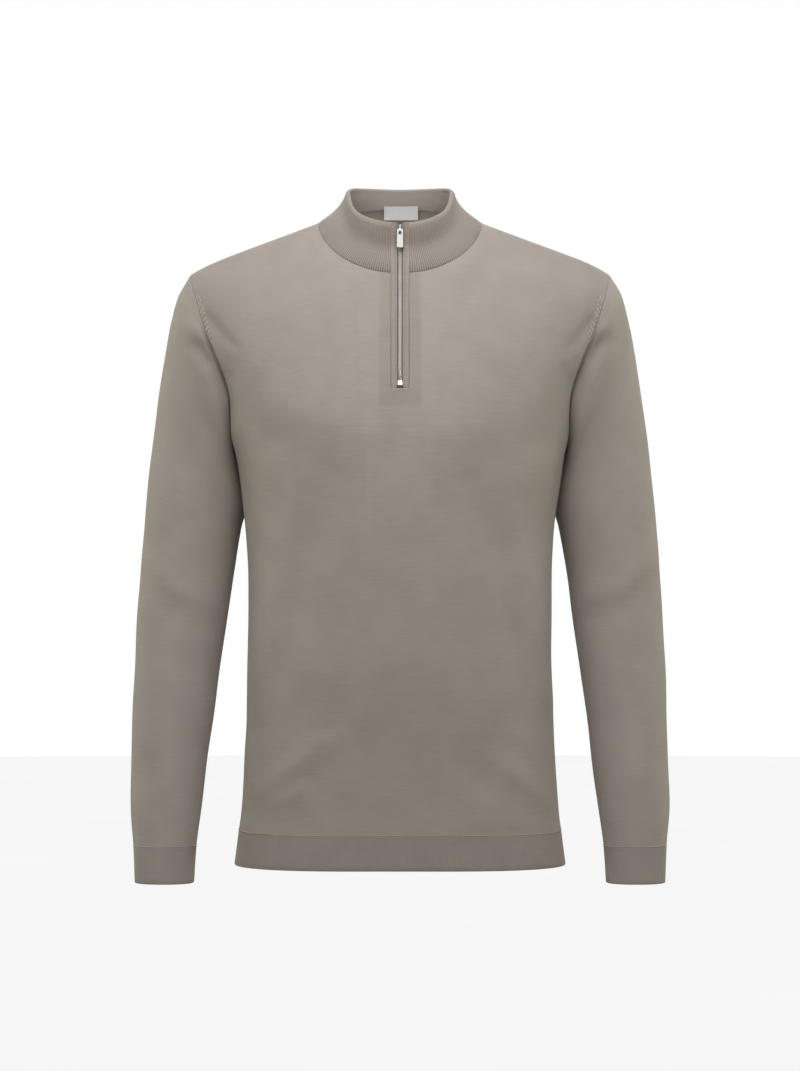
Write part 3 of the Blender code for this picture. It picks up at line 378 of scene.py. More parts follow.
def neckline_outward(points):
    """Wall direction at the collar seam: level at the middle, more upright at the sides."""
    side = (np.abs(points[..., 0]) / NECK_SIDE[0])[..., None] ** 2
    around = level_unit(points - np.array([0.0, NECK_SIDE[1], 0.0]))
    upright = np.array([0.0, 0.0, 1.0]) * (0.3 + 0.55 * side)
    return unit(around * (0.95 - 0.45 * side) + upright)


def top_edge(face, s):
    """A panel's upper edge on the +X side: the neckline, then the shoulder seam."""
    neck = neckline_point(face, np.minimum(s / NECK_SHARE, 1.0) * math.pi / 2.0)
    out = np.clip((s - NECK_SHARE) / (1.0 - NECK_SHARE), 0.0, 1.0)
    out = 1.0 - (1.0 - out) ** 1.5
    straight_tip = SHOULDER_TIP + np.array([0.0, 0.0, SHOULDER_DROP])
    shoulder = NECK_SIDE + (straight_tip - NECK_SIDE) * out[..., None]
    shoulder[..., 2] -= SHOULDER_DROP * out**8
    return np.where((s > NECK_SHARE)[..., None], shoulder, neck)


def eased_top_edge(face, s):
    """The upper edge with its corner rounded off: a weighted mean of it over a short span."""
    reach = 0.8 * s * (1.0 - s)
    weights = (1.0, 2.0, 3.0, 4.0, 3.0, 2.0, 1.0)
    total = 0.0
    for weight, offset in zip(weights, (-0.75, -0.5, -0.25, 0.0, 0.25, 0.5, 0.75)):
        total = total + weight * top_edge(face, s + offset * reach)
    return total / sum(weights)


def base_height(s):
    """Height where the yoke's columns start: below the underarm, rising to it at the side."""
    return UNDERARM_Z - YOKE_START_DROP * (1.0 - np.maximum((s - 0.6) / 0.4, 0.0) ** 2)


def yoke_column(face, s, climb):
    """Upper body without armholes: a cubic from the torso up to the neckline or shoulder."""
    angle = side_angle(face, s)
    base = torso_point(base_height(s), angle)
    below = torso_point(base_height(s) - 8.0, angle)
    top = eased_top_edge(face, s)
    reach = np.linalg.norm(top - base, axis=-1)[..., None]
    front_lean, back_lean, swing, fullness = np.moveaxis(read_table(YOKE, s), -1, 0)
    lean = np.radians(front_lean if face == FRONT else back_lean)
    swing, fullness = np.radians(swing), fullness[..., None]
    arrive = np.stack([
        -np.sin(swing) * np.cos(lean), -face * np.cos(swing) * np.cos(lean), np.sin(lean)
    ], axis=-1)
    flare = np.stack([0.22 * smoothstep((s - 0.55) / 0.4), 0.0 * s, 0.0 * s], axis=-1)
    leave = unit(unit(base - below) + flare) * reach * fullness
    corner = (top_edge(face, s) - top) * climb[..., None] ** 5
    return hermite(base, top, leave, arrive * reach * fullness, climb[..., None]) + corner


def armhole_place(climb):
    """Where the armhole seam lies on the yoke's columns: place across, and climb up the column."""
    across = 1.0 - 0.2 * np.sin(np.pi * climb) ** 1.2 * (1.15 - 0.6 * climb)
    return across, climb**1.4


def panel_point(face, s, v):
    """Body panel: s across from -1 to 1; v from 0, the hem seam, by 1, underarm level, to 2.

    Above the underarm it lies on the yoke's columns, drawn in to the armhole's line and eased
    onto the seam itself by the sixth power of the place across.
    """
    s, v = np.broadcast_arrays(np.asarray(s, float), np.asarray(v, float))
    across = np.abs(s)
    height = HEM_SEAM_Z + (base_height(across) - HEM_SEAM_Z) * np.minimum(v, 1.0)
    lower = torso_point(height, side_angle(face, across))
    climb = np.clip(v - 1.0, 0.0, 1.0)
    edge_across, edge_climb = armhole_place(climb)
    drawn_in = across**2.5
    upper = yoke_column(
        face, across + (edge_across - 1.0) * drawn_in, climb + (edge_climb - climb) * drawn_in
    )
    edge_error = armhole_point(face, climb) - yoke_column(face, edge_across, edge_climb)
    upper = upper + edge_error * across[..., None] ** 6
    point = np.where((v <= 1.0)[..., None], lower, upper)
    point[..., 0] *= np.where(s < 0.0, -1.0, 1.0)
    return point


def fold_height(folds, face, x, z):
    """Soft folds added up: across each line a bell, exp(-(distance / half width)^2)."""
    height = np.zeros(x.shape)
    for panel, half_width, line in folds:
        if panel != face:
            continue
        nearest, lift = np.full(x.shape, 1e9), np.zeros(x.shape)
        for (x0, z0, lift0), (x1, z1, lift1) in zip(line, line[1:]):
            run = np.array([x1 - x0, z1 - z0])
            share = np.clip(((x - x0) * run[0] + (z - z0) * run[1]) / (run @ run), 0.0, 1.0)
            off = np.hypot(x - x0 - share * run[0], z - z0 - share * run[1])
            lift = np.where(off < nearest, lift0 + (lift1 - lift0) * share, lift)
            nearest = np.minimum(nearest, off)
        height += lift * bell(nearest, 0.0, half_width)
    return height


def waviness(across, down, phase):
    """Faint unevenness of hanging cloth: five fixed sines over the place on it."""
    total = 0.0
    for k, (length, angle) in enumerate(((170, 20), (120, 75), (95, -35), (64, 50), (47, 5))):
        run = across * math.cos(math.radians(angle)) + down * math.sin(math.radians(angle))
        total = total + length * np.sin(FULL_TURN * run / length + phase + 1.7 * k)
    return total / 230.0


def front_hang(x, z):
    """How far the front sinks back towards the hem: smooth steps down from the waist and out."""
    return HANG_DEPTH * smoothstep((HANG_TOP_Z - z) / HANG_HEIGHT) * bell(x, 0.0, HANG_HALF_WIDTH)


def sleeve_point(turn, way):
    """The +X sleeve: a leaning superellipse at each way down; turn 0 is inside, then by the front."""
    outer_x, outer_z, inner_x, inner_z, middle_y, half_depth, squareness = np.moveaxis(
        read_table(SLEEVE, way), -1, 0
    )
    middle = np.stack([(outer_x + inner_x) / 2.0, middle_y, (outer_z + inner_z) / 2.0], axis=-1)
    across = np.stack([outer_x - inner_x, 0.0 * way, outer_z - inner_z], axis=-1)
    half_width = np.linalg.norm(across, axis=-1) / 2.0
    inward = half_width * signed_power(np.cos(turn), 2.0 / squareness)
    point = middle - unit(across) * inward[..., None]
    point[..., 1] -= half_depth * signed_power(np.sin(turn), 2.0 / squareness)
    return point


def fitted_sleeve(turn, way):
    """The sleeve, eased onto the armhole seam over its first stretch by a smooth step."""
    climb = np.where(turn <= math.pi, turn, FULL_TURN - turn) / math.pi
    seam = np.where(
        (turn <= math.pi)[..., None], armhole_point(FRONT, climb), armhole_point(BACK, climb)
    )
    error = seam - sleeve_point(turn, np.zeros_like(way))
    return sleeve_point(turn, way) + error * (1.0 - smoothstep(way / SLEEVE_HEAD))[..., None]


def split_turn(turn):
    """For turns round the neck: on the +X side, on the front half, angle from the middle line."""
    around = np.where(turn <= math.pi, turn, FULL_TURN - turn)
    front = around <= math.pi / 2.0
    return turn <= math.pi, front, np.where(front, around, math.pi - around)


def collar_half_width(v):
    """Half width of the collar at a level; it flares out onto the shoulders."""
    return COLLAR_HALF_WIDTH + (NECK_SIDE[0] - COLLAR_HALF_WIDTH) * (1.0 - v) ** 2


# degrees round from the middle of the front, height of the collar's top, lean of it into the neck
COLLAR_TOP = (
    (-20.0, -4.0, 1.6),
    (0.0, -6.0, 1.6),
    (18.0, -4.0, 1.6),
    (40.0, 2.0, 1.8),
    (54.0, 8.0, 2.0),
    (64.0, 14.5, 2.2),
    (71.0, 22.0, 2.6),
    (78.0, 28.5, 3.2),
    (90.0, 34.6, 4.0),
    (102.0, 38.0, 4.6),
    (116.0, 40.0, 4.0),
    (140.0, 41.0, 2.4),
    (180.0, 41.0, 1.8),
    (200.0, 41.0, 1.8),
)
COLLAR_ROLL = 10.0


def collar_point(turn, v):
    """The collar from the neck seam (v 0) to its top (v 1), flaring by a power of 1 - v.

    Over its last stretch it rolls into the neck by a quarter circle.
    """
    right, front, from_middle = split_turn(turn)
    seam = np.where(
        front[..., None], neckline_point(FRONT, from_middle), neckline_point(BACK, from_middle)
    )
    near = np.cos(from_middle)
    top_middle = np.where(front, COLLAR_TOP_FRONT[0], COLLAR_TOP_BACK_Y)
    top_y = COLLAR_TOP_SIDE_Y + (top_middle - COLLAR_TOP_SIDE_Y) * near**NECK_FULLNESS
    around = np.degrees(np.where(front, from_middle, math.pi - from_middle))
    top_z, lean = np.moveaxis(read_table(COLLAR_TOP, around), -1, 0)
    flare = (1.0 - v) ** (2.0 - 0.5 * near)
    height = top_z - seam[..., 2]
    roll = np.clip(1.0 - height * (1.0 - v) / COLLAR_ROLL, 0.0, 1.0)
    lean = lean * (1.0 - np.sqrt(1.0 - 0.98 * roll**2)) / 0.86
    point = np.stack([
        (collar_half_width(v) - lean) * np.sin(from_middle),
        top_y + (seam[..., 1] - top_y) * flare + np.where(front, 1.0, -1.0) * lean * near,
        seam[..., 2] + height * v,
    ], axis=-1)
    point[..., 0] *= np.where(right, 1.0, -1.0)
    return point


def slot_row():
    """The panel's v where the zip's slot ends, read from the middle line's heights."""
    fine = np.linspace(1.0, 2.0, 400)
    return float(np.interp(ZIP_BOTTOM_Z, panel_point(FRONT, np.zeros(400), fine)[:, 2], fine))


SLOT_ROW = slot_row()


def collar_trough(below):
    """How far the collar sinks below its rolled top: a bell down from the top edge."""
    return ridge(below, COLLAR_TROUGH)


def front_path():
    """The closure's line up the middle of the front, as y and z, smoothed by a running mean."""
    chest = panel_point(FRONT, np.zeros(60), np.linspace(SLOT_ROW, 2.0, 60))[:, 1:]
    v = np.linspace(0.0, 1.0, 30)[1:, None]
    share = np.concatenate([1.0 - (1.0 - v) ** 1.5, v], axis=1)
    collar = NECK_FRONT[1:] + (COLLAR_TOP_FRONT - NECK_FRONT[1:]) * share
    line = np.concatenate([chest, collar])
    length = run_length(line)
    even = np.linspace(0.0, length[-1], 241)
    path = np.stack([np.interp(even, length, line[:, i]) for i in (0, 1)], axis=-1)
    for _ in range(60):
        path[1:-1] = (path[:-2] + 2.0 * path[1:-1] + path[2:]) / 4.0
    path[:, 0] += collar_trough(path[-1, 1] - path[:, 1])
    return path


FRONT_PATH = front_path()
PATH_TOP_Z = float(FRONT_PATH[-1, 1])


def path_at(z):
    """Points and outward directions of the closure's line at heights."""
    y = np.interp(z, FRONT_PATH[:, 1], FRONT_PATH[:, 0])
    slope = (
        np.interp(z + 1.0, FRONT_PATH[:, 1], FRONT_PATH[:, 0])
        - np.interp(z - 1.0, FRONT_PATH[:, 1], FRONT_PATH[:, 0])
    ) / 2.0
    outward = unit(np.stack([0.0 * z, -np.ones_like(z), slope], axis=-1))
    return np.stack([0.0 * z, y, z], axis=-1), outward


# ---------------------------------------------------------------- meshes

def grid_normals(points, sign, closed):
    """Unit normals of a grid of points: the cross product of its two central differences."""
    if closed:
        wrapped = np.concatenate([points[:, -1:], points, points[:, :1]], axis=1)
        along = (wrapped[:, 2:] - wrapped[:, :-2]) / 2.0
    else:
        along = np.gradient(points, axis=1)
    return sign * unit(np.cross(along, np.gradient(points, axis=0)))


def grid_length(points, axis):
    """Length along a grid's lines from their start, in millimetres."""
    step = np.linalg.norm(np.diff(points, axis=axis), axis=-1)
    pad = [(0, 0), (0, 0)]
    pad[axis] = (1, 0)
    return np.cumsum(np.pad(step, pad), axis=axis)


def edge_dip(distance, radius, depth):
    """How far a surface rolls in at an edge: a quarter ellipse over the radius."""
    near = 1.0 - np.clip(distance / radius, 0.0, 1.0)
    return depth * (1.0 - np.sqrt(1.0 - near**2))


def rolled(distance, kind, wall):
    """The same for an edge of cloth of a given thickness, by the kind of its seam."""
    radius, share = ROLLS[kind]
    return edge_dip(distance, radius, share * wall)


def add_object(name, data):
    """An object in the scene."""
    made = bpy.data.objects.new(name, data)
    bpy.context.scene.collection.objects.link(made)
    return made


def settle(piece, body, replaces):
    """A finished piece on its body, with the solids that it stands for hidden."""
    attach(piece, body)
    if replaces:
        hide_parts(*replaces)
    return piece


def tube_faces(sides, rings, count):
    """Faces of some small tubes, each of the same rings of points: their quads and end caps.

    Also which side and which ring each of one tube's quads starts from.
    """
    ring, side = np.divmod(np.arange(sides * (rings - 1)), sides)
    ahead = (side + 1) % sides
    one = np.stack([side, ahead, ahead + sides, side + sides], axis=-1) + (ring * sides)[:, None]
    first = np.arange(count) * sides * rings
    quads = (one[None] + first[:, None, None]).reshape(-1, 4)
    low = np.arange(sides) + first[:, None]
    caps = np.concatenate([low[:, ::-1], low + sides * (rings - 1)]).tolist()
    return quads, caps, side, ring


def add_piece(name, points, quads, quad_uv, material, slot, caps=(), replaces=(), second=None,
              doubled=None):
    """A mesh of quads and end caps, turned to face outwards by the sign of its volume.

    second is another material and the mask of the quads that wear it; the last argument gives each
    point's painted shade: along the armhole creases, and where a second layer lies behind the cloth.
    """
    corners = points[quads] - points.mean(axis=0)
    volume = np.sum(corners[:, 0] * np.cross(corners[:, 1], corners[:, 2]))
    volume += np.sum(corners[:, 0] * np.cross(corners[:, 2], corners[:, 3]))
    if volume < 0.0:
        quads, quad_uv = quads[:, ::-1], quad_uv[:, ::-1]
        caps = [cap[::-1] for cap in caps]
    mesh = bpy.data.meshes.new(name)
    mesh.from_pydata(points * MM, [], quads.tolist() + [list(cap) for cap in caps])
    layer = mesh.uv_layers.new(name="cloth")
    uv = np.concatenate([quad_uv.reshape(-1, 2)] + [np.zeros((len(cap), 2)) for cap in caps])
    layer.data.foreach_set("uv", (uv * MM).astype(np.float32).ravel())
    mesh.shade_smooth()
    mesh.materials.append(material)
    if second:
        mesh.materials.append(second[0])
        index = np.concatenate([second[1].astype(np.int32), np.zeros(len(caps), np.int32)])
        mesh.polygons.foreach_set("material_index", index)
    if doubled is not None:
        layer = mesh.attributes.new("doubled", "FLOAT", "POINT")
        layer.data.foreach_set("value", doubled.astype(np.float32))
    return settle(add_object(name, mesh), "garment", replaces)


def add_wall(name, outer, inner, keep, uv, material, doubled, **more):
    """A wall between two grids: both sides, and a strip along every edge of the kept cells."""
    rows, columns = outer.shape[:2]
    number = np.arange(rows * columns).reshape(rows, columns)
    cells = np.stack([number[:-1, :-1], number[:-1, 1:], number[1:, 1:], number[1:, :-1]], axis=-1)
    flat_uv, kept = uv.reshape(-1, 2), cells[keep]
    quads = [kept, kept[:, ::-1] + rows * columns]
    places = [flat_uv[kept], flat_uv[kept[:, ::-1]]]
    framed = np.pad(keep, 1)
    sides = (framed[:-2, 1:-1], framed[1:-1, 2:], framed[2:, 1:-1], framed[1:-1, :-2])
    for k, neighbour in enumerate(sides):
        edge = cells[keep & ~neighbour]
        a, b = edge[:, k], edge[:, (k + 1) % 4]
        quads.append(np.stack([b, a, a + rows * columns, b + rows * columns], axis=-1))
        places.append(flat_uv[np.stack([b, a, a, b], axis=-1)])
    quads, places = np.concatenate(quads), np.concatenate(places)
    points = np.concatenate([outer.reshape(-1, 3), inner.reshape(-1, 3)])
    used, quads = np.unique(quads, return_inverse=True)
    doubled = np.concatenate([doubled.ravel(), doubled.ravel()])[used]
    quads = quads.reshape(-1, 4)
    return add_piece(name, points[used], quads, places, material, doubled=doubled, **more)


def add_swept(name, rings, closed, material, grain="section", length=None, inside=None, **more):
    """A closed section carried along a path: rings[i, j] is its point i at the path's step j.

    The cloth's places are lengths along the section and the path; grain is the one that the
    wales follow. length sets the path's whole length on the cloth; inside is a material and the
    first and last of the section's points that it lies between.
    """
    section, steps = rings.shape[:2]
    number = np.arange(section * steps).reshape(section, steps)
    number = np.concatenate([number, number[:1]], axis=0)
    path = np.concatenate([rings, rings[:, :1]], axis=1) if closed else rings
    along = grid_length(path, 1).mean(axis=0)
    around = grid_length(np.concatenate([rings, rings[:1]], axis=0), 0).mean(axis=1)
    if closed:
        number = np.concatenate([number, number[:, :1]], axis=1)
    if length:
        along = np.linspace(0.0, length, len(along))
    if inside:
        row = np.repeat(np.arange(section), number.shape[1] - 1)
        more["second"] = (inside[0], (row >= inside[1]) & (row < inside[2]))
    v, u = np.meshgrid(around, along, indexing="ij")
    uv = np.stack([u, v] if grain == "section" else [v, u], axis=-1)

    def four(grid):
        return np.stack([grid[:-1, :-1], grid[:-1, 1:], grid[1:, 1:], grid[1:, :-1]], axis=2)

    quads = four(number).reshape(-1, 4)
    caps = () if closed else (number[:-1, 0], number[:-1, -1][::-1])
    return add_piece(name, rings.reshape(-1, 3), quads, four(uv).reshape(-1, 4, 2), material,
                     caps=[list(map(int, cap)) for cap in caps], **more)


# ---------------------------------------------------------------- materials

def fill(tree, made, inputs):
    """A node's inputs, each linked if it is given a socket, and set if it is given a value."""
    for key, value in inputs.items():
        if isinstance(value, bpy.types.NodeSocket):
            tree.links.new(value, made.inputs[key])
        else:
            made.inputs[key].default_value = value


def node(tree, kind, inputs=(), **settings):
    """A node with its settings and inputs."""
    made = tree.nodes.new(kind)
    for key, value in settings.items():
        setattr(made, key, value)
    fill(tree, made, dict(inputs))
    return made


def calc(tree, operation, first, second=0.0, third=0.0):
    """One step of arithmetic."""
    inputs = {0: first, 1: second, 2: third}
    return node(tree, "ShaderNodeMath", inputs, operation=operation).outputs[0]


def wave(tree, place, per_metre):
    """cos(2 pi n p) of a place p, with n waves to the metre."""
    return calc(tree, "COSINE", calc(tree, "MULTIPLY", place, per_metre * FULL_TURN))


def noise(tree, place, scale, detail=2.0):
    """Fractal noise over a place, about one half."""
    inputs = {"Vector": place, "Scale": scale, "Detail": detail}
    return node(tree, "ShaderNodeTexNoise", inputs).outputs[0]


def scaled(color, factor):
    """A colour made lighter or darker, with an alpha of 1."""
    return (*(min(1.0, part * factor) for part in color), 1.0)


def mix(tree, share, first, second):
    """Two colours mixed by a share."""
    inputs = {0: share, 6: first, 7: second}
    return node(tree, "ShaderNodeMix", inputs, data_type="RGBA").outputs[2]


def bump(tree, height, distance, strength=1.0):
    """Normals raised by a pattern of heights."""
    inputs = {"Strength": strength, "Distance": distance, "Height": height}
    return node(tree, "ShaderNodeBump", inputs).outputs[0]


def cloth_place(tree):
    """The place on the piece's own cloth."""
    return node(tree, "ShaderNodeUVMap", uv_map="cloth").outputs[0]


def object_place(tree):
    """The place in the object."""
    return node(tree, "ShaderNodeTexCoord").outputs["Object"]


def build_stitches(tree, given):
    """Plain knitting: two slanting legs to each wale, raised along their middles.

    Leg height is cos(4 pi (|p| - 1/4)) of the place p across the wale; each stitch swells as
    cos 2 pi (course + 1.1 |p|).
    """
    place = node(tree, "ShaderNodeSeparateXYZ", {0: given["Place"]}).outputs
    wobble = noise(tree, given["Place"], 260.0, 1.0)
    shift = calc(tree, "MULTIPLY_ADD", wobble, given["Uneven"], 0.0)
    wale = calc(tree, "MULTIPLY_ADD", place[0], given["Wales"], shift)
    course = calc(tree, "MULTIPLY_ADD", place[1], given["Courses"], shift)
    across = calc(tree, "ABSOLUTE", calc(tree, "SUBTRACT", calc(tree, "FRACT", wale), 0.5))
    leg = wave(tree, calc(tree, "SUBTRACT", across, 0.25), 2.0)
    swell = wave(tree, calc(tree, "MULTIPLY_ADD", across, 1.1, course), 1.0)
    leg = calc(tree, "MULTIPLY_ADD", leg, 0.5, 0.5)
    swell = calc(tree, "MULTIPLY_ADD", swell, 0.24, 0.76)
    height = calc(tree, "MULTIPLY", leg, swell)
    return {"Height": height, "Gap": calc(tree, "SUBTRACT", 1.0, height)}


def build_melange(tree, given):
    """Colour variation of mixed yarn: fibre flecks, streaks along the courses, slow clouds."""
    drawn = node(tree, "ShaderNodeMapping", {0: given["Place"], 3: (0.09, 1.0, 1.0)}).outputs[0]
    total = 0.5
    for place, scale, detail, amount in (
        (given["Place"], 1500.0, 2.0, "Flecks"), (drawn, 480.0, 1.0, "Streaks"),
        (given["Object"], 34.0, 4.0, "Clouds"),
    ):
        uneven = calc(tree, "SUBTRACT", noise(tree, place, scale, detail), 0.5)
        total = calc(tree, "MULTIPLY_ADD", uneven, given[amount], total)
    return {"Shade": node(tree, "ShaderNodeClamp", {0: total}).outputs[0]}


def build_valleys(tree, given):
    """Shade in the valleys between ribs: (1/2 - 1/2 cos 2 pi p)^2 of the place p across a rib.

    It is strongest near the seam, and fades to a share of itself over the given height.
    """
    place = node(tree, "ShaderNodeSeparateXYZ", {0: given["Place"]}).outputs
    across = calc(tree, "MULTIPLY", place[0], given["Ribs"])
    valley = calc(tree, "MULTIPLY_ADD", wave(tree, across, 1.0), -0.5, 0.5)
    valley = calc(tree, "POWER", valley, 2.0)
    climb = calc(tree, "DIVIDE", place[1], given["Height"])
    clamped = node(tree, "ShaderNodeClamp", {0: climb}).outputs[0]
    share = calc(tree, "MULTIPLY_ADD", clamped, given["Fade"], 1.0)
    return {"Shade": calc(tree, "MULTIPLY", calc(tree, "MULTIPLY", valley, share), given["Depth"])}


PATTERNS = {
    "knit stitches": build_stitches, "yarn melange": build_melange, "rib valleys": build_valleys,
}
PLACES = ("Place", "Object")


def pattern(tree, name, inputs):
    """A shared node group with inputs of its own, built the first time it is asked for."""
    if name not in bpy.data.node_groups:
        shared = bpy.data.node_groups.new(name, "ShaderNodeTree")
        for label in inputs:
            kind = "NodeSocketVector" if label in PLACES else "NodeSocketFloat"
            shared.interface.new_socket(label, in_out="INPUT", socket_type=kind)
        results = PATTERNS[name](shared, shared.nodes.new("NodeGroupInput").outputs)
        for label in results:
            shared.interface.new_socket(label, in_out="OUTPUT", socket_type="NodeSocketFloat")
        fill(shared, shared.nodes.new("NodeGroupOutput"), results)
    return node(tree, "ShaderNodeGroup", inputs, node_tree=bpy.data.node_groups[name]).outputs


def melange(tree, flecks, streaks, clouds):
    """The shade of mixed yarn, with its amounts of flecks, streaks and clouds."""
    return pattern(tree, "yarn melange", {
        "Place": cloth_place(tree), "Object": object_place(tree),
        "Flecks": flecks, "Streaks": streaks, "Clouds": clouds,
    })["Shade"]


def make_material(name, color, shader_inputs):
    """A material, made the first time it is asked for, with what its shader is given."""
    if name in bpy.data.materials:
        return bpy.data.materials[name]
    material = bpy.data.materials.new(name)
    material.use_nodes = True
    material.diffuse_color = (*color, 1.0)
    tree = material.node_tree
    fill(tree, tree.nodes["Principled BSDF"], shader_inputs(tree))
    return material


def knit_material(name, color, cloth, wales, relief, valleys=None):
    """Matt knitting: melange yarn, stitches in the bump, a soft nap from sheen.

    It is painted darker as painted shade in the gaps between stitches and at the marked points: along
    the armhole creases, and where a second layer lies behind it beside the zip.
    valleys are a rib's shade: ribs to a metre, and its depth, height and fade.
    """
    def shader_inputs(tree):
        place = cloth_place(tree)
        stitches = pattern(tree, "knit stitches", {
            "Place": place, "Wales": wales, "Courses": 1.0 / cloth.course_pitch, "Uneven": 0.5,
        })
        yarn = melange(tree, 1.4, 0.85, 1.1)
        tint = mix(tree, yarn, scaled(color, 0.9), scaled(color, 1.1))
        shade = calc(tree, "MULTIPLY", stitches["Gap"], 0.16)
        if valleys:
            valley = pattern(tree, "rib valleys", {"Place": place, **valleys})
            shade = calc(tree, "MAXIMUM", shade, valley["Shade"])
        else:
            # painted shade at the points that the mesh's attribute marks: armhole creases and the
            # two-layer cloth beside the zip
            layer = node(tree, "ShaderNodeAttribute", attribute_name="doubled").outputs["Fac"]
            shade = calc(tree, "MULTIPLY_ADD", layer, 0.13, shade)
        fuzz = calc(tree, "MULTIPLY_ADD", noise(tree, place, 2600.0), 0.5, stitches["Height"])
        return {
            "Base Color": mix(tree, shade, tint, scaled(color, 0.3)),
            "Roughness": calc(tree, "MULTIPLY_ADD", yarn, 0.1, 0.84),
            "Normal": bump(tree, fuzz, relief), "Specular IOR Level": 0.25,
            "Sheen Weight": cloth.nap, "Sheen Roughness": 0.45, "Sheen Tint": scaled(color, 2.6),
        }

    return make_material(name, color, shader_inputs)


def metal_material(name, color, roughness):
    """Polished metal with faint drawn lines and smudges in its roughness."""
    def shader_inputs(tree):
        where = object_place(tree)
        drawn = node(tree, "ShaderNodeMapping", {0: where, 3: (1.0, 1.0, 0.15)}).outputs[0]
        lines = noise(tree, drawn, 3500.0)
        smudge = noise(tree, where, 400.0)
        return {
            "Base Color": mix(tree, lines, scaled(color, 0.94), scaled(color, 1.04)),
            "Roughness": calc(tree, "MULTIPLY_ADD", smudge, 0.14, roughness),
            "Normal": bump(tree, lines, 0.00002, 0.25), "Metallic": 1.0,
        }

    return make_material(name, color, shader_inputs)


def woven_material(name, color, threads, relief, roughness=0.75):
    """Plain weave: threads raised at right angles, shaded with the yarn's melange."""
    def shader_inputs(tree):
        axes = node(tree, "ShaderNodeSeparateXYZ", {0: cloth_place(tree)}).outputs
        weave = calc(tree, "MULTIPLY", wave(tree, axes[0], threads), wave(tree, axes[1], threads))
        yarn = melange(tree, 0.6, 0.3, 0.2)
        tint = mix(tree, yarn, scaled(color, 0.92), scaled(color, 1.06))
        deep = calc(tree, "MULTIPLY_ADD", weave, 0.06, 0.06)
        return {
            "Base Color": mix(tree, deep, tint, scaled(color, 0.6)),
            "Roughness": calc(tree, "MULTIPLY_ADD", yarn, 0.1, roughness),
            "Normal": bump(tree, weave, relief, 0.7), "Sheen Weight": 0.1,
        }

    return make_material(name, color, shader_inputs)


def yarn_material(name, color):
    """Twisted yarn: slanting plies in the bump and the colour, by the place along the thread."""
    def shader_inputs(tree):
        axes = node(tree, "ShaderNodeSeparateXYZ", {0: cloth_place(tree)}).outputs
        around = calc(tree, "MULTIPLY", axes[0], 1500.0)
        ply = wave(tree, calc(tree, "ADD", around, calc(tree, "MULTIPLY", axes[1], 1800.0)), 1.0)
        yarn = melange(tree, 0.8, 0.0, 0.4)
        shade = calc(tree, "MULTIPLY_ADD", ply, 0.12, yarn)
        return {
            "Base Color": mix(tree, shade, scaled(color, 0.82), scaled(color, 1.12)),
            "Roughness": calc(tree, "MULTIPLY_ADD", yarn, 0.1, 0.8),
            "Normal": bump(tree, ply, 0.0001, 0.6), "Sheen Weight": 0.2,
        }

    return make_material(name, color, shader_inputs)


def jersey(cloth):
    """The panels' and sleeves' cloth."""
    return knit_material("taupe_jersey", cloth.knit_color, cloth, 1.0 / cloth.wale_pitch, 0.00010)


def ribbing(name, cloth, tone, depth, height=0.04, fade=0.0):
    """The collar's, cuffs' and hem's cloth: a shaded valley to each rib, and one wale on it."""
    ribs = 1000.0 / RIB_PITCH
    color = tuple(tone * part for part in cloth.rib_color)
    valleys = {"Ribs": ribs, "Height": height, "Fade": fade, "Depth": depth}
    return knit_material(name, color, cloth, ribs, 0.00006, valleys)


def facing(cloth):
    """The plain cloth that lines the collar."""
    return knit_material("pale_facing_jersey", cloth.facing_color, cloth, 1.0 / cloth.wale_pitch,
                         0.00008)


def pale_yarn(use, cloth, tone):
    """Thread a little lighter than the cloth that it sews."""
    return yarn_material("pale_%s_yarn" % use, scaled(cloth.knit_color, tone)[:3])


# ---------------------------------------------------------------- settings

def color_setting(name, description, default):
    """A setting that is a colour."""
    return FloatVectorProperty(name=name, description=description, subtype="COLOR", size=3,
                               min=0.0, max=1.0, default=default)


def length_setting(name, description, low, high, default):
    """A setting that is a length, in metres."""
    return FloatProperty(name=name, description=description, unit="LENGTH", min=low, max=high,
                         default=default)


class SWEATER_PG_cloth(bpy.types.PropertyGroup):
    """Sizes and colours of the knitted pieces."""

    knit_color: color_setting(
        "Knit colour", "Colour of the panels and sleeves", (0.280, 0.246, 0.207))
    rib_color: color_setting(
        "Rib colour", "Colour of the collar, cuffs and hem band", (0.250, 0.220, 0.186))
    facing_color: color_setting(
        "Facing colour", "Colour of the plain cloth inside the collar", (0.330, 0.296, 0.256))
    wall: length_setting(
        "Cloth thickness", "Thickness of the panels and sleeves", 0.0008, 0.0024, 0.0015)
    wale_pitch: length_setting(
        "Wale pitch", "Width of one column of stitches", 0.0006, 0.005, 0.0013)
    course_pitch: length_setting(
        "Course pitch", "Height of one row of stitches", 0.0005, 0.005, 0.0010)
    nap: FloatProperty(
        name="Nap", description="Strength of the cloth's soft sheen",
        subtype="FACTOR", min=0.0, max=1.0, default=0.25)
    rib_height: length_setting(
        "Rib height", "How far the ribs of the collar stand out", 0.0, 0.001, 0.00045)
    collar_ribs: IntProperty(
        name="Collar ribs", description="Ribs round the collar", min=40, max=260, default=232)
    hem_ribs: IntProperty(
        name="Hem ribs", description="Ribs round the hem band", min=80, max=460, default=420)
    cuff_ribs: IntProperty(
        name="Cuff ribs", description="Ribs round each cuff", min=20, max=120, default=90)


class SWEATER_PG_trim(bpy.types.PropertyGroup):
    """Sizes and colours of the zip and the label."""

    metal_color: color_setting(
        "Metal colour", "Colour of the zip's teeth, slider and pull", (0.80, 0.79, 0.77))
    # the tape's colour is partly its own and partly painted shade, darkened so that the tape between
    # the teeth looks shadowed
    tape_color_and_painted_shade: color_setting(
        "Tape colour", "Colour of the zip's woven tape", (0.115, 0.100, 0.088))
    label_color: color_setting(
        "Label colour", "Colour of the bare woven label", (0.355, 0.352, 0.340))
    tooth_pitch: length_setting(
        "Tooth pitch", "Spacing of the teeth on one side of the zip", 0.001, 0.004, 0.0021)


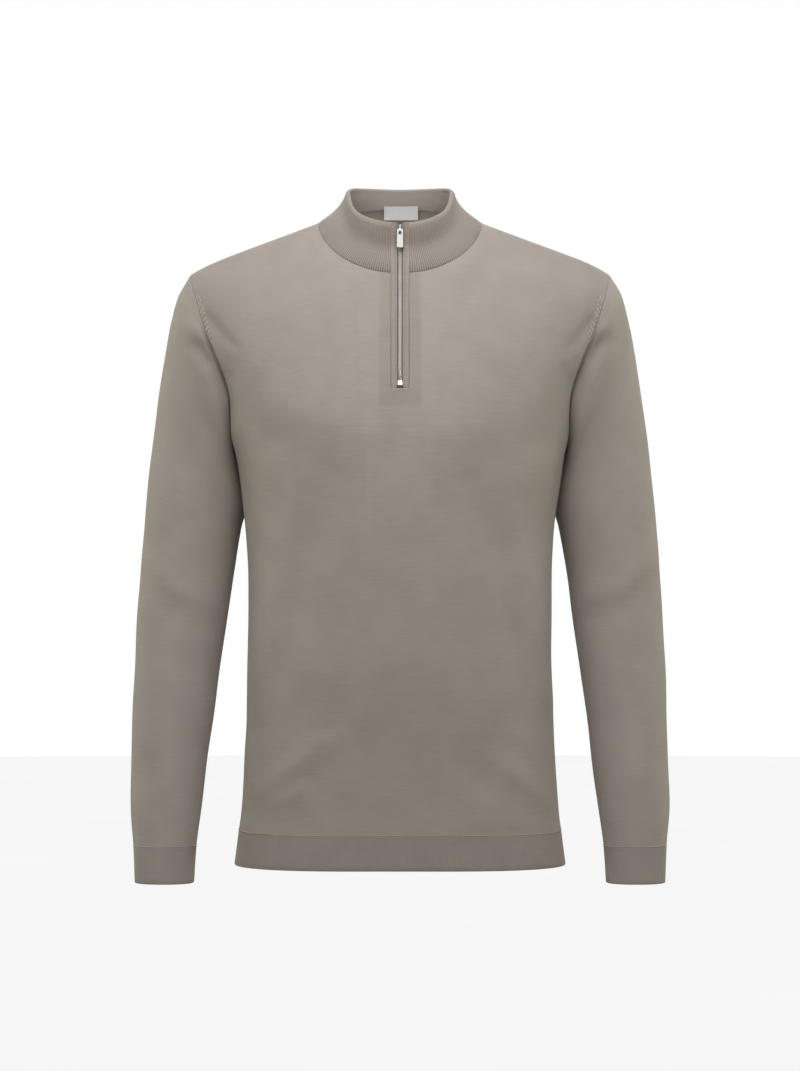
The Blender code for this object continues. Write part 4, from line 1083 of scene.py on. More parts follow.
class SWEATER_PG_stage(bpy.types.PropertyGroup):
    """Camera and light."""

    camera_distance: length_setting(
        "Camera distance", "Distance in front of the neck", 1.0, 10.0, 3.9)
    camera_height: length_setting(
        "Camera height", "Height of the camera above the neck", -2.0, 2.0, -0.3376)
    view_height: length_setting(
        "View height", "Height of the view in the plane of the neck", 0.2, 5.0, 1.1535)
    light: FloatProperty(
        name="Light", description="Strength of all the lights together",
        min=0.0, max=10.0, default=1.0)


# ---------------------------------------------------------------- panels

def dense(start, end, count, near_start=(), near_end=()):
    """Even values from start to end, with more of them at given distances from the ends."""
    values = np.linspace(start, end, count)
    more = [start + step for step in near_start] + [end - step for step in near_end]
    if near_start:
        values = values[(values <= start) | (values > start + max(near_start) * 1.3)]
    if near_end:
        values = values[(values >= end) | (values < end - max(near_end) * 1.3)]
    return np.unique(np.concatenate([values, more]))


def panel_grid(face):
    """Columns s and rows v of a panel, closer together along its seams and the zip's facing."""
    half = np.concatenate([
        [0.0, 0.012, 0.024],
        dense(SLOT_S, 0.15, 20, (0.001, 0.0025, 0.005, 0.009)),
        dense(0.15, 1.0, 74, (), (0.0012, 0.003, 0.006, 0.01, 0.017)),
    ])
    half = np.unique(half)
    half[np.argmin(np.abs(half - NECK_SHARE))] = NECK_SHARE
    columns = np.concatenate([-half[:0:-1], half])
    lower = dense(0.0, 1.0, 104, (0.0008, 0.002, 0.004, 0.0075))
    upper = dense(1.0, 2.0, 84, (), (0.0012, 0.003, 0.006, 0.01, 0.017))
    if face == FRONT:
        around = SLOT_ROW + np.array([-0.016, -0.010, -0.006, -0.003, -0.0012, 0.0])
        upper = upper[(upper < around[0] - 0.004) | (upper > SLOT_ROW + 0.006)]
        upper = np.unique(np.concatenate([upper, around]))
    return np.unique(np.concatenate([lower, upper])), columns


def seam_blend(normal, seam_normal, distance, reach=SEAM_REACH):
    """Normals turned to a seam's own direction within a reach of it, by a smooth step."""
    near = (1.0 - smoothstep(distance / reach))[..., None]
    return unit(normal * (1.0 - near) + seam_normal * near)


def panel_uv(points, s, v):
    """Places on the cloth: lengths across and up; above the underarm, widths scale with x."""
    middle = points.shape[1] // 2
    across = grid_length(points, 1)
    across = across - across[:, middle:middle + 1]
    up = grid_length(points, 0)
    row = int(np.argmin(np.abs(v[:, 0] - 1.0)))
    x = points[..., 0]
    ratio = np.where(np.abs(s) > 0.01, x / np.where(np.abs(s) > 0.01, x[row], 1.0), 1.0)
    across = np.where(v > 1.0, across[row] * ratio, across)
    return np.stack([across, up], axis=-1)


def relaxed(points, weight, rounds):
    """A grid of points evened out: each moved towards the mean of its four neighbours."""
    points = points.copy()
    for _ in range(rounds):
        mean = (points[:-2, 1:-1] + points[2:, 1:-1] + points[1:-1, :-2] + points[1:-1, 2:]) / 4.0
        points[1:-1, 1:-1] += (mean - points[1:-1, 1:-1]) * weight[1:-1, 1:-1, None]
    return points


def edge_distances(points):
    """Lengths over a panel from its nearer side, from its top and from its hem."""
    across, up = grid_length(points, 1), grid_length(points, 0)
    return np.minimum(across, across[:, -1:] - across), up[-1:] - up, up


def open_slot(points, s):
    """Spreads the front's columns to the slot's width, over the slot and a short way below it."""
    column, across = int(np.argmin(np.abs(s[0] - SLOT_S))), np.abs(s)
    widen = SLOT_HALF_WIDTH - points[:, column, 0]
    widen = widen * smoothstep((points[:, column, 2] - ZIP_BOTTOM_Z + 30.0) / 30.0)
    spread = np.where(across < SLOT_S, across / SLOT_S, bell(across, SLOT_S, 0.06))
    points[..., 0] += np.where(s < 0.0, -1.0, 1.0) * widen[:, None] * spread


def panel_normals(points, face, s, v, from_side, from_top, from_hem):
    """Normals of a panel, turned along every seam to the direction that both pieces share."""
    mirror = np.stack([np.where(s < 0.0, -1.0, 1.0), np.ones_like(s), np.ones_like(s)], axis=-1)
    slope = SHOULDER_TIP - NECK_SIDE
    shoulder = unit(np.array([-slope[2], 0.0, slope[0]])) * mirror
    on_neck = (np.abs(s) <= NECK_SHARE)[..., None]
    normal = grid_normals(points, -face, False)
    for direction, distance in (
        (np.array([1.0, 0.0, 0.0]) * mirror, np.where(v < 1.06, from_side, FAR)),
        (np.where(on_neck, neckline_outward(points), shoulder), from_top),
        (armhole_outward(points * mirror) * mirror, np.where(v > 1.0, from_side, FAR)),
    ):
        normal = seam_blend(normal, direction, distance)
    return seam_blend(normal, level_unit(normal), from_hem)


def seam_roll(linked, banded, wall):
    """How far cloth rolls in, by its distances from the linked seams and from a band's seam."""
    return np.maximum(rolled(linked, "linked", wall), rolled(banded, "banded", wall))


# finished outer surfaces of the panels: rows, columns, points and normals
SKINS = {}


def add_panel(name, face, cloth, node_name):
    """Front or back panel: its surface with folds, rolled in along every seam, and a plain back."""
    rows, columns = panel_grid(face)
    v, s = np.meshgrid(rows, columns, indexing="ij")
    points = panel_point(face, s, v)
    keep = np.ones((len(rows) - 1, len(columns) - 1), bool)
    if face == FRONT:
        open_slot(points, s)
        inside = np.abs(columns[:-1] + columns[1:]) < 2.0 * SLOT_S
        keep[np.ix_(rows[:-1] >= SLOT_ROW - 1e-9, inside)] = False
    uv = panel_uv(points, s, v)
    inland = np.minimum(*edge_distances(points)[:2])
    free = smoothstep((inland - 17.0) / 24.0) * smoothstep((v - 0.75) / 0.2)
    free = free * smoothstep((np.abs(points[..., 0]) - 26.0) / 14.0)
    points = relaxed(points, free, RELAX_ROUNDS)
    x, z = points[..., 0], points[..., 2]

    from_side, from_top, from_hem = edge_distances(points)
    normal = panel_normals(points, face, s, v, from_side, from_top, from_hem)

    ease = smoothstep(np.minimum(from_side, from_top) / 11.0) * smoothstep(from_hem / 14.0)
    uneven = 0.55 * waviness(x, z, 0.4 * face) * smoothstep((np.abs(x) - 12.0) / 30.0)
    height = (fold_height(FOLDS, face, x, z) + uneven) * ease
    from_arm = np.where(v > 1.0, from_side, FAR)
    low = armhole_low(z)
    ridge_height, *ridge_place = ARMHOLE_RIDGE
    height = height + ridge_height * low * bell(from_arm, *ridge_place) * smoothstep(from_arm / 3.0)
    height = height + 0.9 * np.exp(-(((z + 256.0) / 15.0) ** 2) - (from_side / 22.0) ** 2)
    # painted shade along the armhole seams, stronger on their lower part, where the crease falls dark
    painted_crease_and_facing_shade = (1.5 + 1.1 * low) * (1.0 - smoothstep((from_arm - 0.3) / 1.6))
    if face == FRONT:
        # beside the zip the cloth is raised by a step, and the same mask adds painted shade
        doubled = smoothstep((FACING_HALF_WIDTH - np.abs(x)) / 5.0)
        doubled = doubled * smoothstep((z - FACING_END_Z) / 3.5)
        height, painted_crease_and_facing_shade = height + FACING_STEP * doubled, painted_crease_and_facing_shade + doubled
        points[..., 1] += front_hang(x, z)
    points = points + normal * height[..., None]

    wall = cloth.wall / MM
    dip = seam_roll(np.minimum(from_side, from_top), from_hem, wall)
    if face == FRONT:
        slot, between = v >= SLOT_ROW - 1e-9, np.abs(s) <= SLOT_S
        from_slot = np.where(slot, np.abs(np.abs(x) - SLOT_HALF_WIDTH), FAR)
        below = np.where(between & ~slot, ZIP_BOTTOM_Z - z, FAR)
        end = np.where(between & (np.abs(v - SLOT_ROW) < 1e-9), 0.0, below)
        dip = np.maximum(dip, rolled(np.minimum(from_slot, np.abs(end)), "slot", wall))
    sink = edge_dip(from_arm, 2.6, 1.5) * low
    outer = points - normal * (dip + sink)[..., None]
    inner = points - normal * (wall - dip + sink)[..., None]
    SKINS[face] = (rows, columns, outer, normal)
    return add_wall(name, outer, inner, keep, uv, jersey(cloth), painted_crease_and_facing_shade, slot="knit",
                    replaces=(node_name,))


def on_skin(face, s, v):
    """Points and normals of a finished panel, read from its grid by straight weights."""
    rows, columns, outer, normal = SKINS[face]
    r = np.clip(np.searchsorted(rows, v) - 1, 0, len(rows) - 2)
    c = np.clip(np.searchsorted(columns, s) - 1, 0, len(columns) - 2)
    a = ((v - rows[r]) / (rows[r + 1] - rows[r]))[:, None]
    b = ((s - columns[c]) / (columns[c + 1] - columns[c]))[:, None]

    def read(grid):
        low = grid[r, c] * (1.0 - b) + grid[r, c + 1] * b
        high = grid[r + 1, c] * (1.0 - b) + grid[r + 1, c + 1] * b
        return low * (1.0 - a) + high * a

    return read(outer), unit(read(normal))


# ---------------------------------------------------------------- sleeves and bands

def section_loop(outer, inner):
    """One loop of points: down the outer side, and back up the inner side."""
    return np.concatenate([outer, inner[::-1]], axis=0)


def add_sleeve(name, hand, cloth, node_name):
    """One sleeve: the fitted tube, rolled in at the armhole and cuff seams."""
    near_armhole = (0.35, 0.8, 1.5, 2.4, 3.4, 4.5, 5.7, 7.0, 8.4, 10.0)
    ways = dense(0.0, CUFF_SEAM_WAY, 186, near_armhole, (0.35, 0.8, 1.5))
    turns = np.linspace(0.0, FULL_TURN, 156, endpoint=False)
    way, turn = np.meshgrid(ways, turns, indexing="ij")
    to_cuff = CUFF_SEAM_WAY - way
    points = fitted_sleeve(turn, way)
    normal = grid_normals(points, -1.0, True)
    normal = seam_blend(normal, armhole_outward(points), way)
    normal = seam_blend(normal, level_unit(normal), to_cuff)
    x, z = points[..., 0], points[..., 2]
    lower = z + (6.0 if hand < 0.0 else 0.0)
    ease = smoothstep(way / 12.0) * smoothstep(to_cuff / 14.0)
    height = 0.5 * waviness(points[..., 1] + x, z, 2.0 * hand) * ease
    for face, facing_share in ((FRONT, np.sin(turn)), (BACK, -np.sin(turn))):
        folds = fold_height(SLEEVE_FOLDS, face, x, lower) * smoothstep(facing_share / 0.55)
        height = height + folds * smoothstep(way / 6.0) * ease
    points = points + normal * height[..., None]
    low = armhole_low(z)
    tuck = ridge(way, SLEEVE_TUCKS[0]) + ridge(way, SLEEVE_TUCKS[1])
    tuck = tuck * smoothstep(way / 2.2) * smoothstep((z + 236.0) / 34.0)
    points = points - normal * (low * tuck)[..., None]
    # painted shade along the lower armhole seam, where the crease falls dark
    shade = 2.6 * low * (1.0 - smoothstep((way - 1.5) / 5.0))
    wall = cloth.wall / MM
    dip = seam_roll(way, to_cuff, wall)
    outer = points - normal * dip[..., None]
    inner = points - normal * (wall - dip)[..., None]
    return add_swept(name, mirrored(section_loop(outer, inner), hand), True, jersey(cloth),
                     doubled=section_loop(shade, shade).ravel(), slot="knit",
                     replaces=(node_name,))


def rib_wave(phase):
    """Rounded ribs with narrow valleys between: |cos(pi phase)|^0.7."""
    return np.abs(np.cos(math.pi * phase)) ** 0.7


def ring_outward(rows):
    """Level outward directions along closed rows of points."""
    tangent = np.roll(rows, -1, axis=1) - np.roll(rows, 1, axis=1)
    outward = np.stack([tangent[..., 1], -tangent[..., 0], 0.0 * tangent[..., 0]], axis=-1)
    away = rows - rows.mean(axis=1, keepdims=True)
    return unit(outward * np.sign(np.sum(outward * away, axis=-1))[..., None])


def even_angles(ring, level, count):
    """Angles that split a closed ring at a level into equal lengths."""
    return even_spacing(lambda angle: ring(angle, np.full_like(angle, level)), 0.0, FULL_TURN,
                        count + 1)[:-1]


def band_loop(ring, seam, edge, ribs, steps):
    """Section of a ribbed band round a ring: down its outer side, round the edge, up the inner.

    ring(angle, level) is the plain outer surface. The ribs fade out at the seam, where a rolled
    bead stands, and over the rounded edge.
    """
    even = even_angles(ring, seam, ribs * steps)
    length, radius = abs(edge - seam), BAND_WALL / 2.0
    down = dense(0.0, length - radius, 9, (0.35, 0.8, 1.3, 1.9, 2.6, 3.4))
    sign = math.copysign(1.0, edge - seam)
    levels = [(seam + sign * d, d, 0.0) for d in down]
    for angle in np.radians((30.0, 60.0, 90.0, 120.0, 150.0)):
        level = edge - sign * radius * (1.0 - math.sin(angle))
        levels.append((level, length, radius * (1.0 - math.cos(angle))))
    levels += [(seam + sign * d, d, BAND_WALL) for d in dense(0.0, length - radius, 5)[::-1]]
    level, distance, depth = (np.array(column)[:, None] for column in zip(*levels))
    angle = np.broadcast_to(even, (len(levels), len(even)))
    rows = ring(angle, np.broadcast_to(level, angle.shape))
    wave = rib_wave(np.arange(len(even)) / steps)
    fade = smoothstep((distance - 1.6) / 2.5) * (1.0 - 0.55 * (distance >= length))
    bead = ridge(distance, BAND_BEAD)
    lift = np.where(depth < radius, BAND_RIB_HEIGHT * wave * fade + bead, 0.0) - depth
    dip = rolled(distance, "band", BAND_WALL)
    lift = lift - np.where(depth == 0.0, dip, 0.0) + np.where(depth == BAND_WALL, dip, 0.0)
    return rows + ring_outward(rows) * lift[..., None]


def hem_ring(angle, height):
    """The torso's level section all the way round."""
    around = np.where(angle <= math.pi, angle, FULL_TURN - angle)
    row = torso_point(height, around)
    row[..., 0] *= np.where(angle <= math.pi, 1.0, -1.0)
    row[..., 1] += np.where(row[..., 1] < 0.0, front_hang(row[..., 0], row[..., 2]), 0.0)
    return row


def add_hem(name, cloth, node_name):
    """The hem band."""
    ribs = cloth.hem_ribs
    loop = band_loop(hem_ring, HEM_SEAM_Z, HEM_EDGE_Z, ribs, HEM_RIB_STEPS)
    return add_swept(name, loop, True, ribbing("taupe_hem_rib", cloth, 0.97, 0.22),
                     length=ribs * RIB_PITCH, slot="rib", replaces=(node_name,))


def add_cuff(name, hand, cloth, node_name):
    """One cuff."""
    ribs = cloth.cuff_ribs
    loop = band_loop(sleeve_point, CUFF_SEAM_WAY, CUFF_EDGE_WAY, ribs, CUFF_RIB_STEPS)
    return add_swept(name, mirrored(loop, hand), True,
                     ribbing("taupe_cuff_rib", cloth, 0.95, 0.16),
                     length=ribs * RIB_PITCH, slot="rib", replaces=(node_name,))


# ---------------------------------------------------------------- collar

def collar_turns(count, v):
    """Turns round the collar at a level, evenly from one side of the slot to the other."""
    middle = even_spacing(lambda at: collar_point(at, np.full_like(at, 0.5)), 0.0, math.pi, 400)
    share = np.linspace(0.0, 1.0, 400)
    first = np.interp(math.asin(SLOT_HALF_WIDTH / float(collar_half_width(v))), middle, share)
    at = np.linspace(first, 2.0 - first, count)
    half = np.interp(1.0 - np.abs(at - 1.0), share, middle)
    return np.where(at <= 1.0, half, FULL_TURN - half)


def collar_directions(turn, v):
    """Points of the collar with their outward and upward directions."""
    step = 0.004
    ahead, behind = collar_point(turn + step, v), collar_point(np.maximum(turn - step, 0.0), v)
    high = collar_point(turn, np.minimum(v + step, 1.0))
    up = unit(high - collar_point(turn, np.maximum(v - step, 0.0)))
    return collar_point(turn, v), unit(np.cross(ahead - behind, up)), up


def add_collar(name, cloth, node_name):
    """Doubled stand collar: ribs up the outside, over a rounded top and down the inside."""
    count = cloth.collar_ribs * COLLAR_RIB_STEPS + 1
    wave = rib_wave(np.linspace(0.0, cloth.collar_ribs, count)) * cloth.rib_height / MM
    radius = COLLAR_WALL / 2.0
    rows = []

    def at_level(v):
        """Row at a share of the height that leaves room for the rounded top.

        It is given with its directions, its height, how far it is below the top, and how deep
        it lies in the trough, which is lost towards the back.
        """
        turn = collar_turns(count, v)
        rise = collar_point(turn, np.ones(count)) - collar_point(turn, np.zeros(count))
        whole = np.linalg.norm(rise, axis=-1)
        point, outward, up = collar_directions(turn, v * (1.0 - radius / whole))
        height = v * (1.0 - radius / whole) * whole
        outward = seam_blend(outward, neckline_outward(point), height, 6.0)
        below = height * (1.0 - v) / v if v else FAR
        sunk = collar_trough(below) * smoothstep((25.0 - point[:, 1]) / 70.0)
        return point, outward, up, height, below, sunk

    for v in dense(0.0, 1.0, 20, (0.006, 0.014, 0.026, 0.045)):
        point, outward, _, height, below, sunk = at_level(v)
        fade = smoothstep((height - 0.6) / 2.0) * (1.0 - 0.7 * smoothstep((v - 0.6) / 0.4))
        roll = ridge(below, COLLAR_BEAD) - sunk
        lift = wave * fade + roll - rolled(height, "collar", COLLAR_WALL)
        rows.append(point + outward * lift[:, None])
    point, outward, up = at_level(1.0)[:3]
    for angle in np.radians((22.5, 45.0, 67.5, 90.0, 112.5, 135.0, 157.5)):
        reach = radius + 0.55 * wave
        turned = outward * math.cos(angle) + up * math.sin(angle)
        rows.append(point - outward * radius + turned * reach[:, None])
    turned_in = len(rows) - 2
    for v in dense(0.0, 1.0, 12, (0.02, 0.05))[::-1]:
        point, outward, _, height, _, sunk = at_level(v)
        lift = -COLLAR_WALL - sunk + rolled(height, "collar", COLLAR_WALL)
        rows.append(point + outward * lift[:, None])
    ribs = ribbing("taupe_collar_rib", cloth, 1.04, 1.0, 0.048, -0.66)
    return add_swept(name, np.stack(rows), False, ribs, length=cloth.collar_ribs * RIB_PITCH,
                     inside=(facing(cloth), turned_in, len(rows)), slot="rib",
                     replaces=(node_name,))


# ---------------------------------------------------------------- zip

def along_path(section, z, ends=1.2):
    """A section of (x, depth) points carried up the closure's line, drawn in at both ends."""
    line, outward = path_at(z)
    section = np.asarray(section, float)
    middle = section.mean(axis=0)
    edge = np.minimum(z - z[0], z[-1] - z)
    shrink = 1.0 - 0.6 * (1.0 - np.sqrt(1.0 - (1.0 - np.clip(edge / ends, 0.0, 1.0)) ** 2))
    placed = middle + (section - middle)[:, None, :] * shrink[None, :, None]
    rows = line[None] + outward[None] * placed[..., 1:2]
    rows[..., 0] += placed[..., 0]
    return rows


def rounded_section(x_low, x_high, depth_low, depth_high, corner, ribs=()):
    """A rounded rectangle of (x, depth) points; ribs are (x, half width, height) on its face."""
    width, height = x_high - x_low - 2.0 * corner, depth_high - depth_low - 2.0 * corner
    points = []
    for start, x, y in ((180, 0, 0), (270, 1, 0), (0, 1, 1), (90, 0, 1)):
        for a in np.radians(start + np.array([0.0, 30.0, 60.0, 90.0])):
            points.append((x_low + corner + x * width + corner * math.cos(a),
                           depth_low + corner + y * height + corner * math.sin(a)))
        if start == 0:
            for step in np.linspace(0.0, 1.0, 30)[1:-1]:
                points.append((x_high - corner - step * width, depth_high))
    points = np.array(points)
    on_face = points[:, 1] > (depth_low + depth_high) / 2.0
    for x, half_width, height in ribs:
        points[:, 1] += on_face * height * bell(points[:, 0], x, half_width)
    return points


def add_strip(side, hand, cloth):
    """Knitted strip beside the teeth: a rounded edge, a groove, and a narrow lip at the zip."""
    section = rounded_section(*STRIP_X, -1.3, 0.2, 0.5, STRIP_WALES)
    near = (0.2, 0.5, 0.9)
    z = dense(ZIP_BOTTOM_Z + SEAM_GAP, PATH_TOP_Z + 0.6, 150, near, near)
    rows = mirrored(along_path(section, z), hand)
    return add_swept("zip_strip_" + side, rows, False, jersey(cloth), grain="path",
                     slot="rib", replaces=("placket_" + side,))


def add_tape(side, hand, trim):
    """Woven tape behind the teeth, with a corded edge along them."""
    section = rounded_section(SEAM_GAP, STRIP_X[1], *TAPE_DEPTH, 0.25)
    rows = along_path(section, dense(ZIP_BOTTOM_Z + SEAM_GAP, PATH_TOP_Z, 90))
    # the tape's weave, in its colour darkened by painted shade
    cloth = woven_material("tape_weave_painted_shade", trim.tape_color_and_painted_shade, 1600.0, 0.0001)
    tape = add_swept("zip_tape_cloth_" + side, mirrored(rows, hand), False, cloth, grain="path",
                     slot="tape", replaces=("zip_tape_" + side,))
    cord = [(CORD_X + CORD_RADIUS * math.cos(a), CORD_DEPTH + CORD_RADIUS * math.sin(a))
            for a in np.linspace(0.0, FULL_TURN, 8, endpoint=False)]
    rows = along_path(cord, np.linspace(STOP_TOP_Z - 6.0, PATH_TOP_Z - 1.0, 150), 0.4)
    # the corded edge takes the tape's colour, a little lighter, and with it the painted shade
    thread = woven_material("cord_weave_painted_shade", scaled(trim.tape_color_and_painted_shade, 1.4)[:3], 1400.0, 0.0001)
    add_swept("zip_cord_edge_" + side, mirrored(rows, hand), False, thread, grain="path",
              slot="tape")
    return tape


def add_teeth(trim):
    """Metal teeth, alternately from each side: an eight-sided block with a narrowed face each."""
    z = np.arange(STOP_TOP_Z + 1.0, HINGE_Z + 4.0, trim.tooth_pitch / MM / 2.0)
    line, outward = path_at(z)
    up = unit(np.cross(outward, np.array([-1.0, 0.0, 0.0])))
    corner = np.array([
        (1, 0.5), (1, -0.5), (0.8, -1), (-0.8, -1), (-1, -0.5), (-1, 0.5), (-0.8, 1), (0.8, 1),
    ])
    rings = ((0.6, 0.6), (1.0, 0.1), (1.0, -1.3))
    half = np.array([TOOTH_HALF_WIDTH, TOOTH_HALF_HEIGHT])
    block = np.array([(*(half * s * at), depth) for s, depth in rings for at in corner])
    line[:, 0] = TOOTH_X * np.where(np.arange(len(z)) % 2 == 0, 1.0, -1.0)
    points = (
        line[:, None]
        + block[None, :, 0:1] * np.array([1.0, 0.0, 0.0])
        + block[None, :, 1:2] * up[:, None]
        + block[None, :, 2:3] * outward[:, None]
    )
    quads, caps, _, _ = tube_faces(8, 3, len(z))
    tone = tuple(s * c for s, c in zip(TOOTH_TONE, trim.metal_color))
    piece = add_piece("zip_teeth", points.reshape(-1, 3), quads, np.zeros((len(quads), 4, 2)),
                      metal_material("zip_tooth_metal", tone, 0.44), "zip_metal", caps=caps,
                      replaces=("zip_chain",))
    piece.data.set_sharp_from_angle(angle=SHARP_ANGLE)
    return piece


def add_metal(name, node_name, trim, body, painted_shade_share=1.0):
    """A small metal part: its solid with merged points and flat faces, its edges bevelled.

    Faces further back than a share of its depth get painted shade: the same metal, much darker.
    """
    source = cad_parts[node_name]
    mesh = source.data.copy()
    mesh.name = name
    work = bmesh.new()
    work.from_mesh(mesh)
    bmesh.ops.remove_doubles(work, verts=work.verts, dist=2e-6)
    bmesh.ops.dissolve_limit(work, angle_limit=math.radians(1.0), verts=work.verts,
                             edges=work.edges)
    work.to_mesh(mesh)
    work.free()
    mesh.transform(source.matrix_world)
    mesh.materials.clear()
    mesh.materials.append(metal_material("zip_polished_metal", trim.metal_color, 0.16))
    # painted shade on the faces further back
    if painted_shade_share < 1.0:
        painted_shade_color = scaled(trim.metal_color, 0.2)[:3]
        mesh.materials.append(metal_material("zip_painted_shade_metal", painted_shade_color, 0.3))
        low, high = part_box(node_name)
        limit = low[1] + painted_shade_share * (high[1] - low[1])
        index = [int(face.center.y > limit) for face in mesh.polygons]
        mesh.polygons.foreach_set("material_index", index)
    mesh.shade_smooth()
    mesh.set_sharp_from_angle(angle=SHARP_ANGLE)
    piece = add_object(name, mesh)
    bevel = piece.modifiers.new("rounded_edges", "BEVEL")
    bevel.width, bevel.segments, bevel.limit_method = BEVEL_WIDTH, 2, "ANGLE"
    bevel.angle_limit = SHARP_ANGLE
    bevel.harden_normals = True
    return settle(piece, body, (node_name,))


# ---------------------------------------------------------------- sewing

def add_stitches(name, start, end, outward, radius, bow, material):
    """Short threads on the cloth, each a six-sided spindle from its start to its end.

    At a share t of its length it stands bow (4 t (1 - t) - 0.4) out of the cloth, and its
    radius is drawn in at the ends.
    """
    share = np.array([0.0, 0.2, 0.5, 0.8, 1.0])
    swell = np.array([0.4, 0.9, 1.0, 0.9, 0.4])
    turn = np.linspace(0.0, FULL_TURN, 6, endpoint=False)
    run = end - start
    across = unit(np.cross(run, outward))
    up = unit(np.cross(across, run))
    middle = start[:, None] + run[:, None] * share[:, None]
    middle = middle + up[:, None] * (bow * (4.0 * share * (1.0 - share) - 0.4))[:, None]
    spoke = np.cos(turn)[:, None] * across[:, None] + np.sin(turn)[:, None] * up[:, None]
    points = middle[:, :, None] + radius * swell[:, None, None] * spoke[:, None]
    quads, caps, side, ring = tube_faces(6, 5, len(start))
    length = np.linalg.norm(run, axis=1)[:, None, None]
    around = np.stack([side, side + 1, side + 1, side], axis=-1) * radius
    along = share[np.stack([ring, ring, ring + 1, ring + 1], axis=-1)] * length
    along = along + np.arange(len(start))[:, None, None] * 0.37
    uv = np.stack([np.broadcast_to(around, along.shape), along], axis=-1)
    return add_piece(name, points.reshape(-1, 3), quads, uv.reshape(-1, 4, 2), material, "knit",
                     caps=caps)


def add_fashioning_marks(cloth):
    """Slanted stitches beside each armhole, in two staggered rows, front and back."""
    climb = np.linspace(0.745, 0.56, 11)
    starts, ends, outwards = [], [], []
    for face in (FRONT, BACK):
        for _, hand in HANDS:
            for row, distance in enumerate((1.6, 4.6)):
                v = 1.0 + climb - 0.009 * row
                edge, _ = on_skin(face, hand * np.ones_like(v), v)
                near, _ = on_skin(face, hand * np.full_like(v, 0.96), v)
                scale = 0.04 / np.linalg.norm(edge - near, axis=1)
                low, outward = on_skin(face, hand * (1.0 - distance * scale), v)
                high, _ = on_skin(face, hand * (1.0 - (distance + 2.0) * scale), v + 0.013)
                starts.append(low)
                ends.append(high)
                outwards.append(outward)
    starts, ends, outwards = (np.concatenate(rows) for rows in (starts, ends, outwards))
    yarn = pale_yarn("sewing", cloth, 1.45)
    return add_stitches("armhole_stitches", starts, ends, outwards, 0.6, 0.6, yarn)


def ring_stitches(ring, level):
    """A chain round a seam: where each of its threads starts and ends, and outwards there."""
    circle = ring(np.linspace(0.0, FULL_TURN, 400), np.full(400, level))
    even = even_angles(ring, level, int(run_length(circle)[-1] / CHAIN_PITCH))
    points = ring(even, np.full_like(even, level))
    outward = ring_outward(points[None])[0]
    ahead = np.roll(points, -1, axis=0)
    start = points + outward * 0.1
    end = points + (ahead - points) * 0.86 + outward * 0.1 + np.array([0.0, 0.0, 0.35])
    return start, end, outward


def add_chains(cloth):
    """Linking chains over the hem's and the cuffs' seams."""
    looks = (CHAIN_RADIUS, CHAIN_BOW, pale_yarn("linking", cloth, 1.5))
    add_stitches("hem_chain", *ring_stitches(hem_ring, HEM_SEAM_Z + 0.25), *looks)
    chain = ring_stitches(sleeve_point, CUFF_SEAM_WAY - 0.25)
    for side, hand in HANDS:
        add_stitches("cuff_chain_" + side, *(mirrored(part, hand) for part in chain), *looks)


def add_zip_stitches(cloth):
    """A row of stitches under the zip, and three slanted ones beside its end."""
    rows, columns, outer, _ = SKINS[FRONT]
    middle = len(columns) // 2

    def place(x, z):
        v = np.interp(z, outer[:, middle, 2], rows)
        row = int(np.argmin(np.abs(rows - v.mean())))
        return on_skin(FRONT, np.interp(x, outer[row, :, 0], columns), v)

    under = np.full(8, ZIP_ROW_Z)
    x = np.concatenate([np.linspace(-8.6, 6.6, 8), [10.6, 10.6, 10.6]])
    start, outward = place(x, np.concatenate([under, [-176.0, -179.2, -182.4]]))
    end, _ = place(x + 1.7, np.concatenate([under, [-177.6, -180.8, -184.0]]))
    start, end = start + outward * 0.1, end + outward * 0.1
    yarn = pale_yarn("sewing", cloth, 1.45)
    return add_stitches("zip_end_stitches", start, end, outward, 0.32, 0.4, yarn)


# ---------------------------------------------------------------- label

def add_label(trim):
    """Bare woven label inside the neck: a thin sheet bent to the collar, its ends folded under."""
    low, high = (np.array(corner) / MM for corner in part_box("neck_label"))
    columns, half_rows = 60, 14
    x = np.linspace(low[0], high[0], columns)
    bend = (x / max(-low[0], high[0])) ** 2
    seat = high[1] - (high[1] - 0.6 - low[1]) * bend
    rise = np.linspace(low[2], high[2], half_rows), np.linspace(high[2], low[2], half_rows)
    z = np.concatenate(rise)
    depth = np.concatenate([np.full(half_rows, 0.62), np.full(half_rows, 0.12)])
    near = np.minimum(np.minimum(z - low[2], high[2] - z) / 0.8, 1.0)
    depth = 0.37 + (depth - 0.37) * np.sqrt(1.0 - (1.0 - near) ** 2 * 0.9)
    fold = 0.22 * smoothstep((2.2 - np.minimum(x - low[0], high[0] - x)) / 0.5)
    folded = np.where(depth > 0.3, 1.0, 0.0)[:, None] * fold[None]
    curl = 0.5 * (1.0 - (z - low[2]) / (high[2] - low[2]))[:, None] * np.sin(x / 7.0)[None]
    whole = (2 * half_rows, columns)
    rows = np.stack([
        np.broadcast_to(x, whole),
        seat[None] - depth[:, None] - folded + 0.12 * curl,
        np.broadcast_to(z[:, None], whole),
    ], axis=-1)
    cloth = woven_material("pale_label_weave", trim.label_color, 2200.0, 0.00006, 0.6)
    return add_swept("neck_label_cloth", rows, False, cloth, slot="label",
                     replaces=("neck_label",))


# ---------------------------------------------------------------- stage

def aim(thing, place, target):
    """Puts a light or camera somewhere, looking at a target."""
    thing.location = place
    thing.rotation_euler = (Vector(target) - Vector(place)).to_track_quat("-Z", "Y").to_euler()


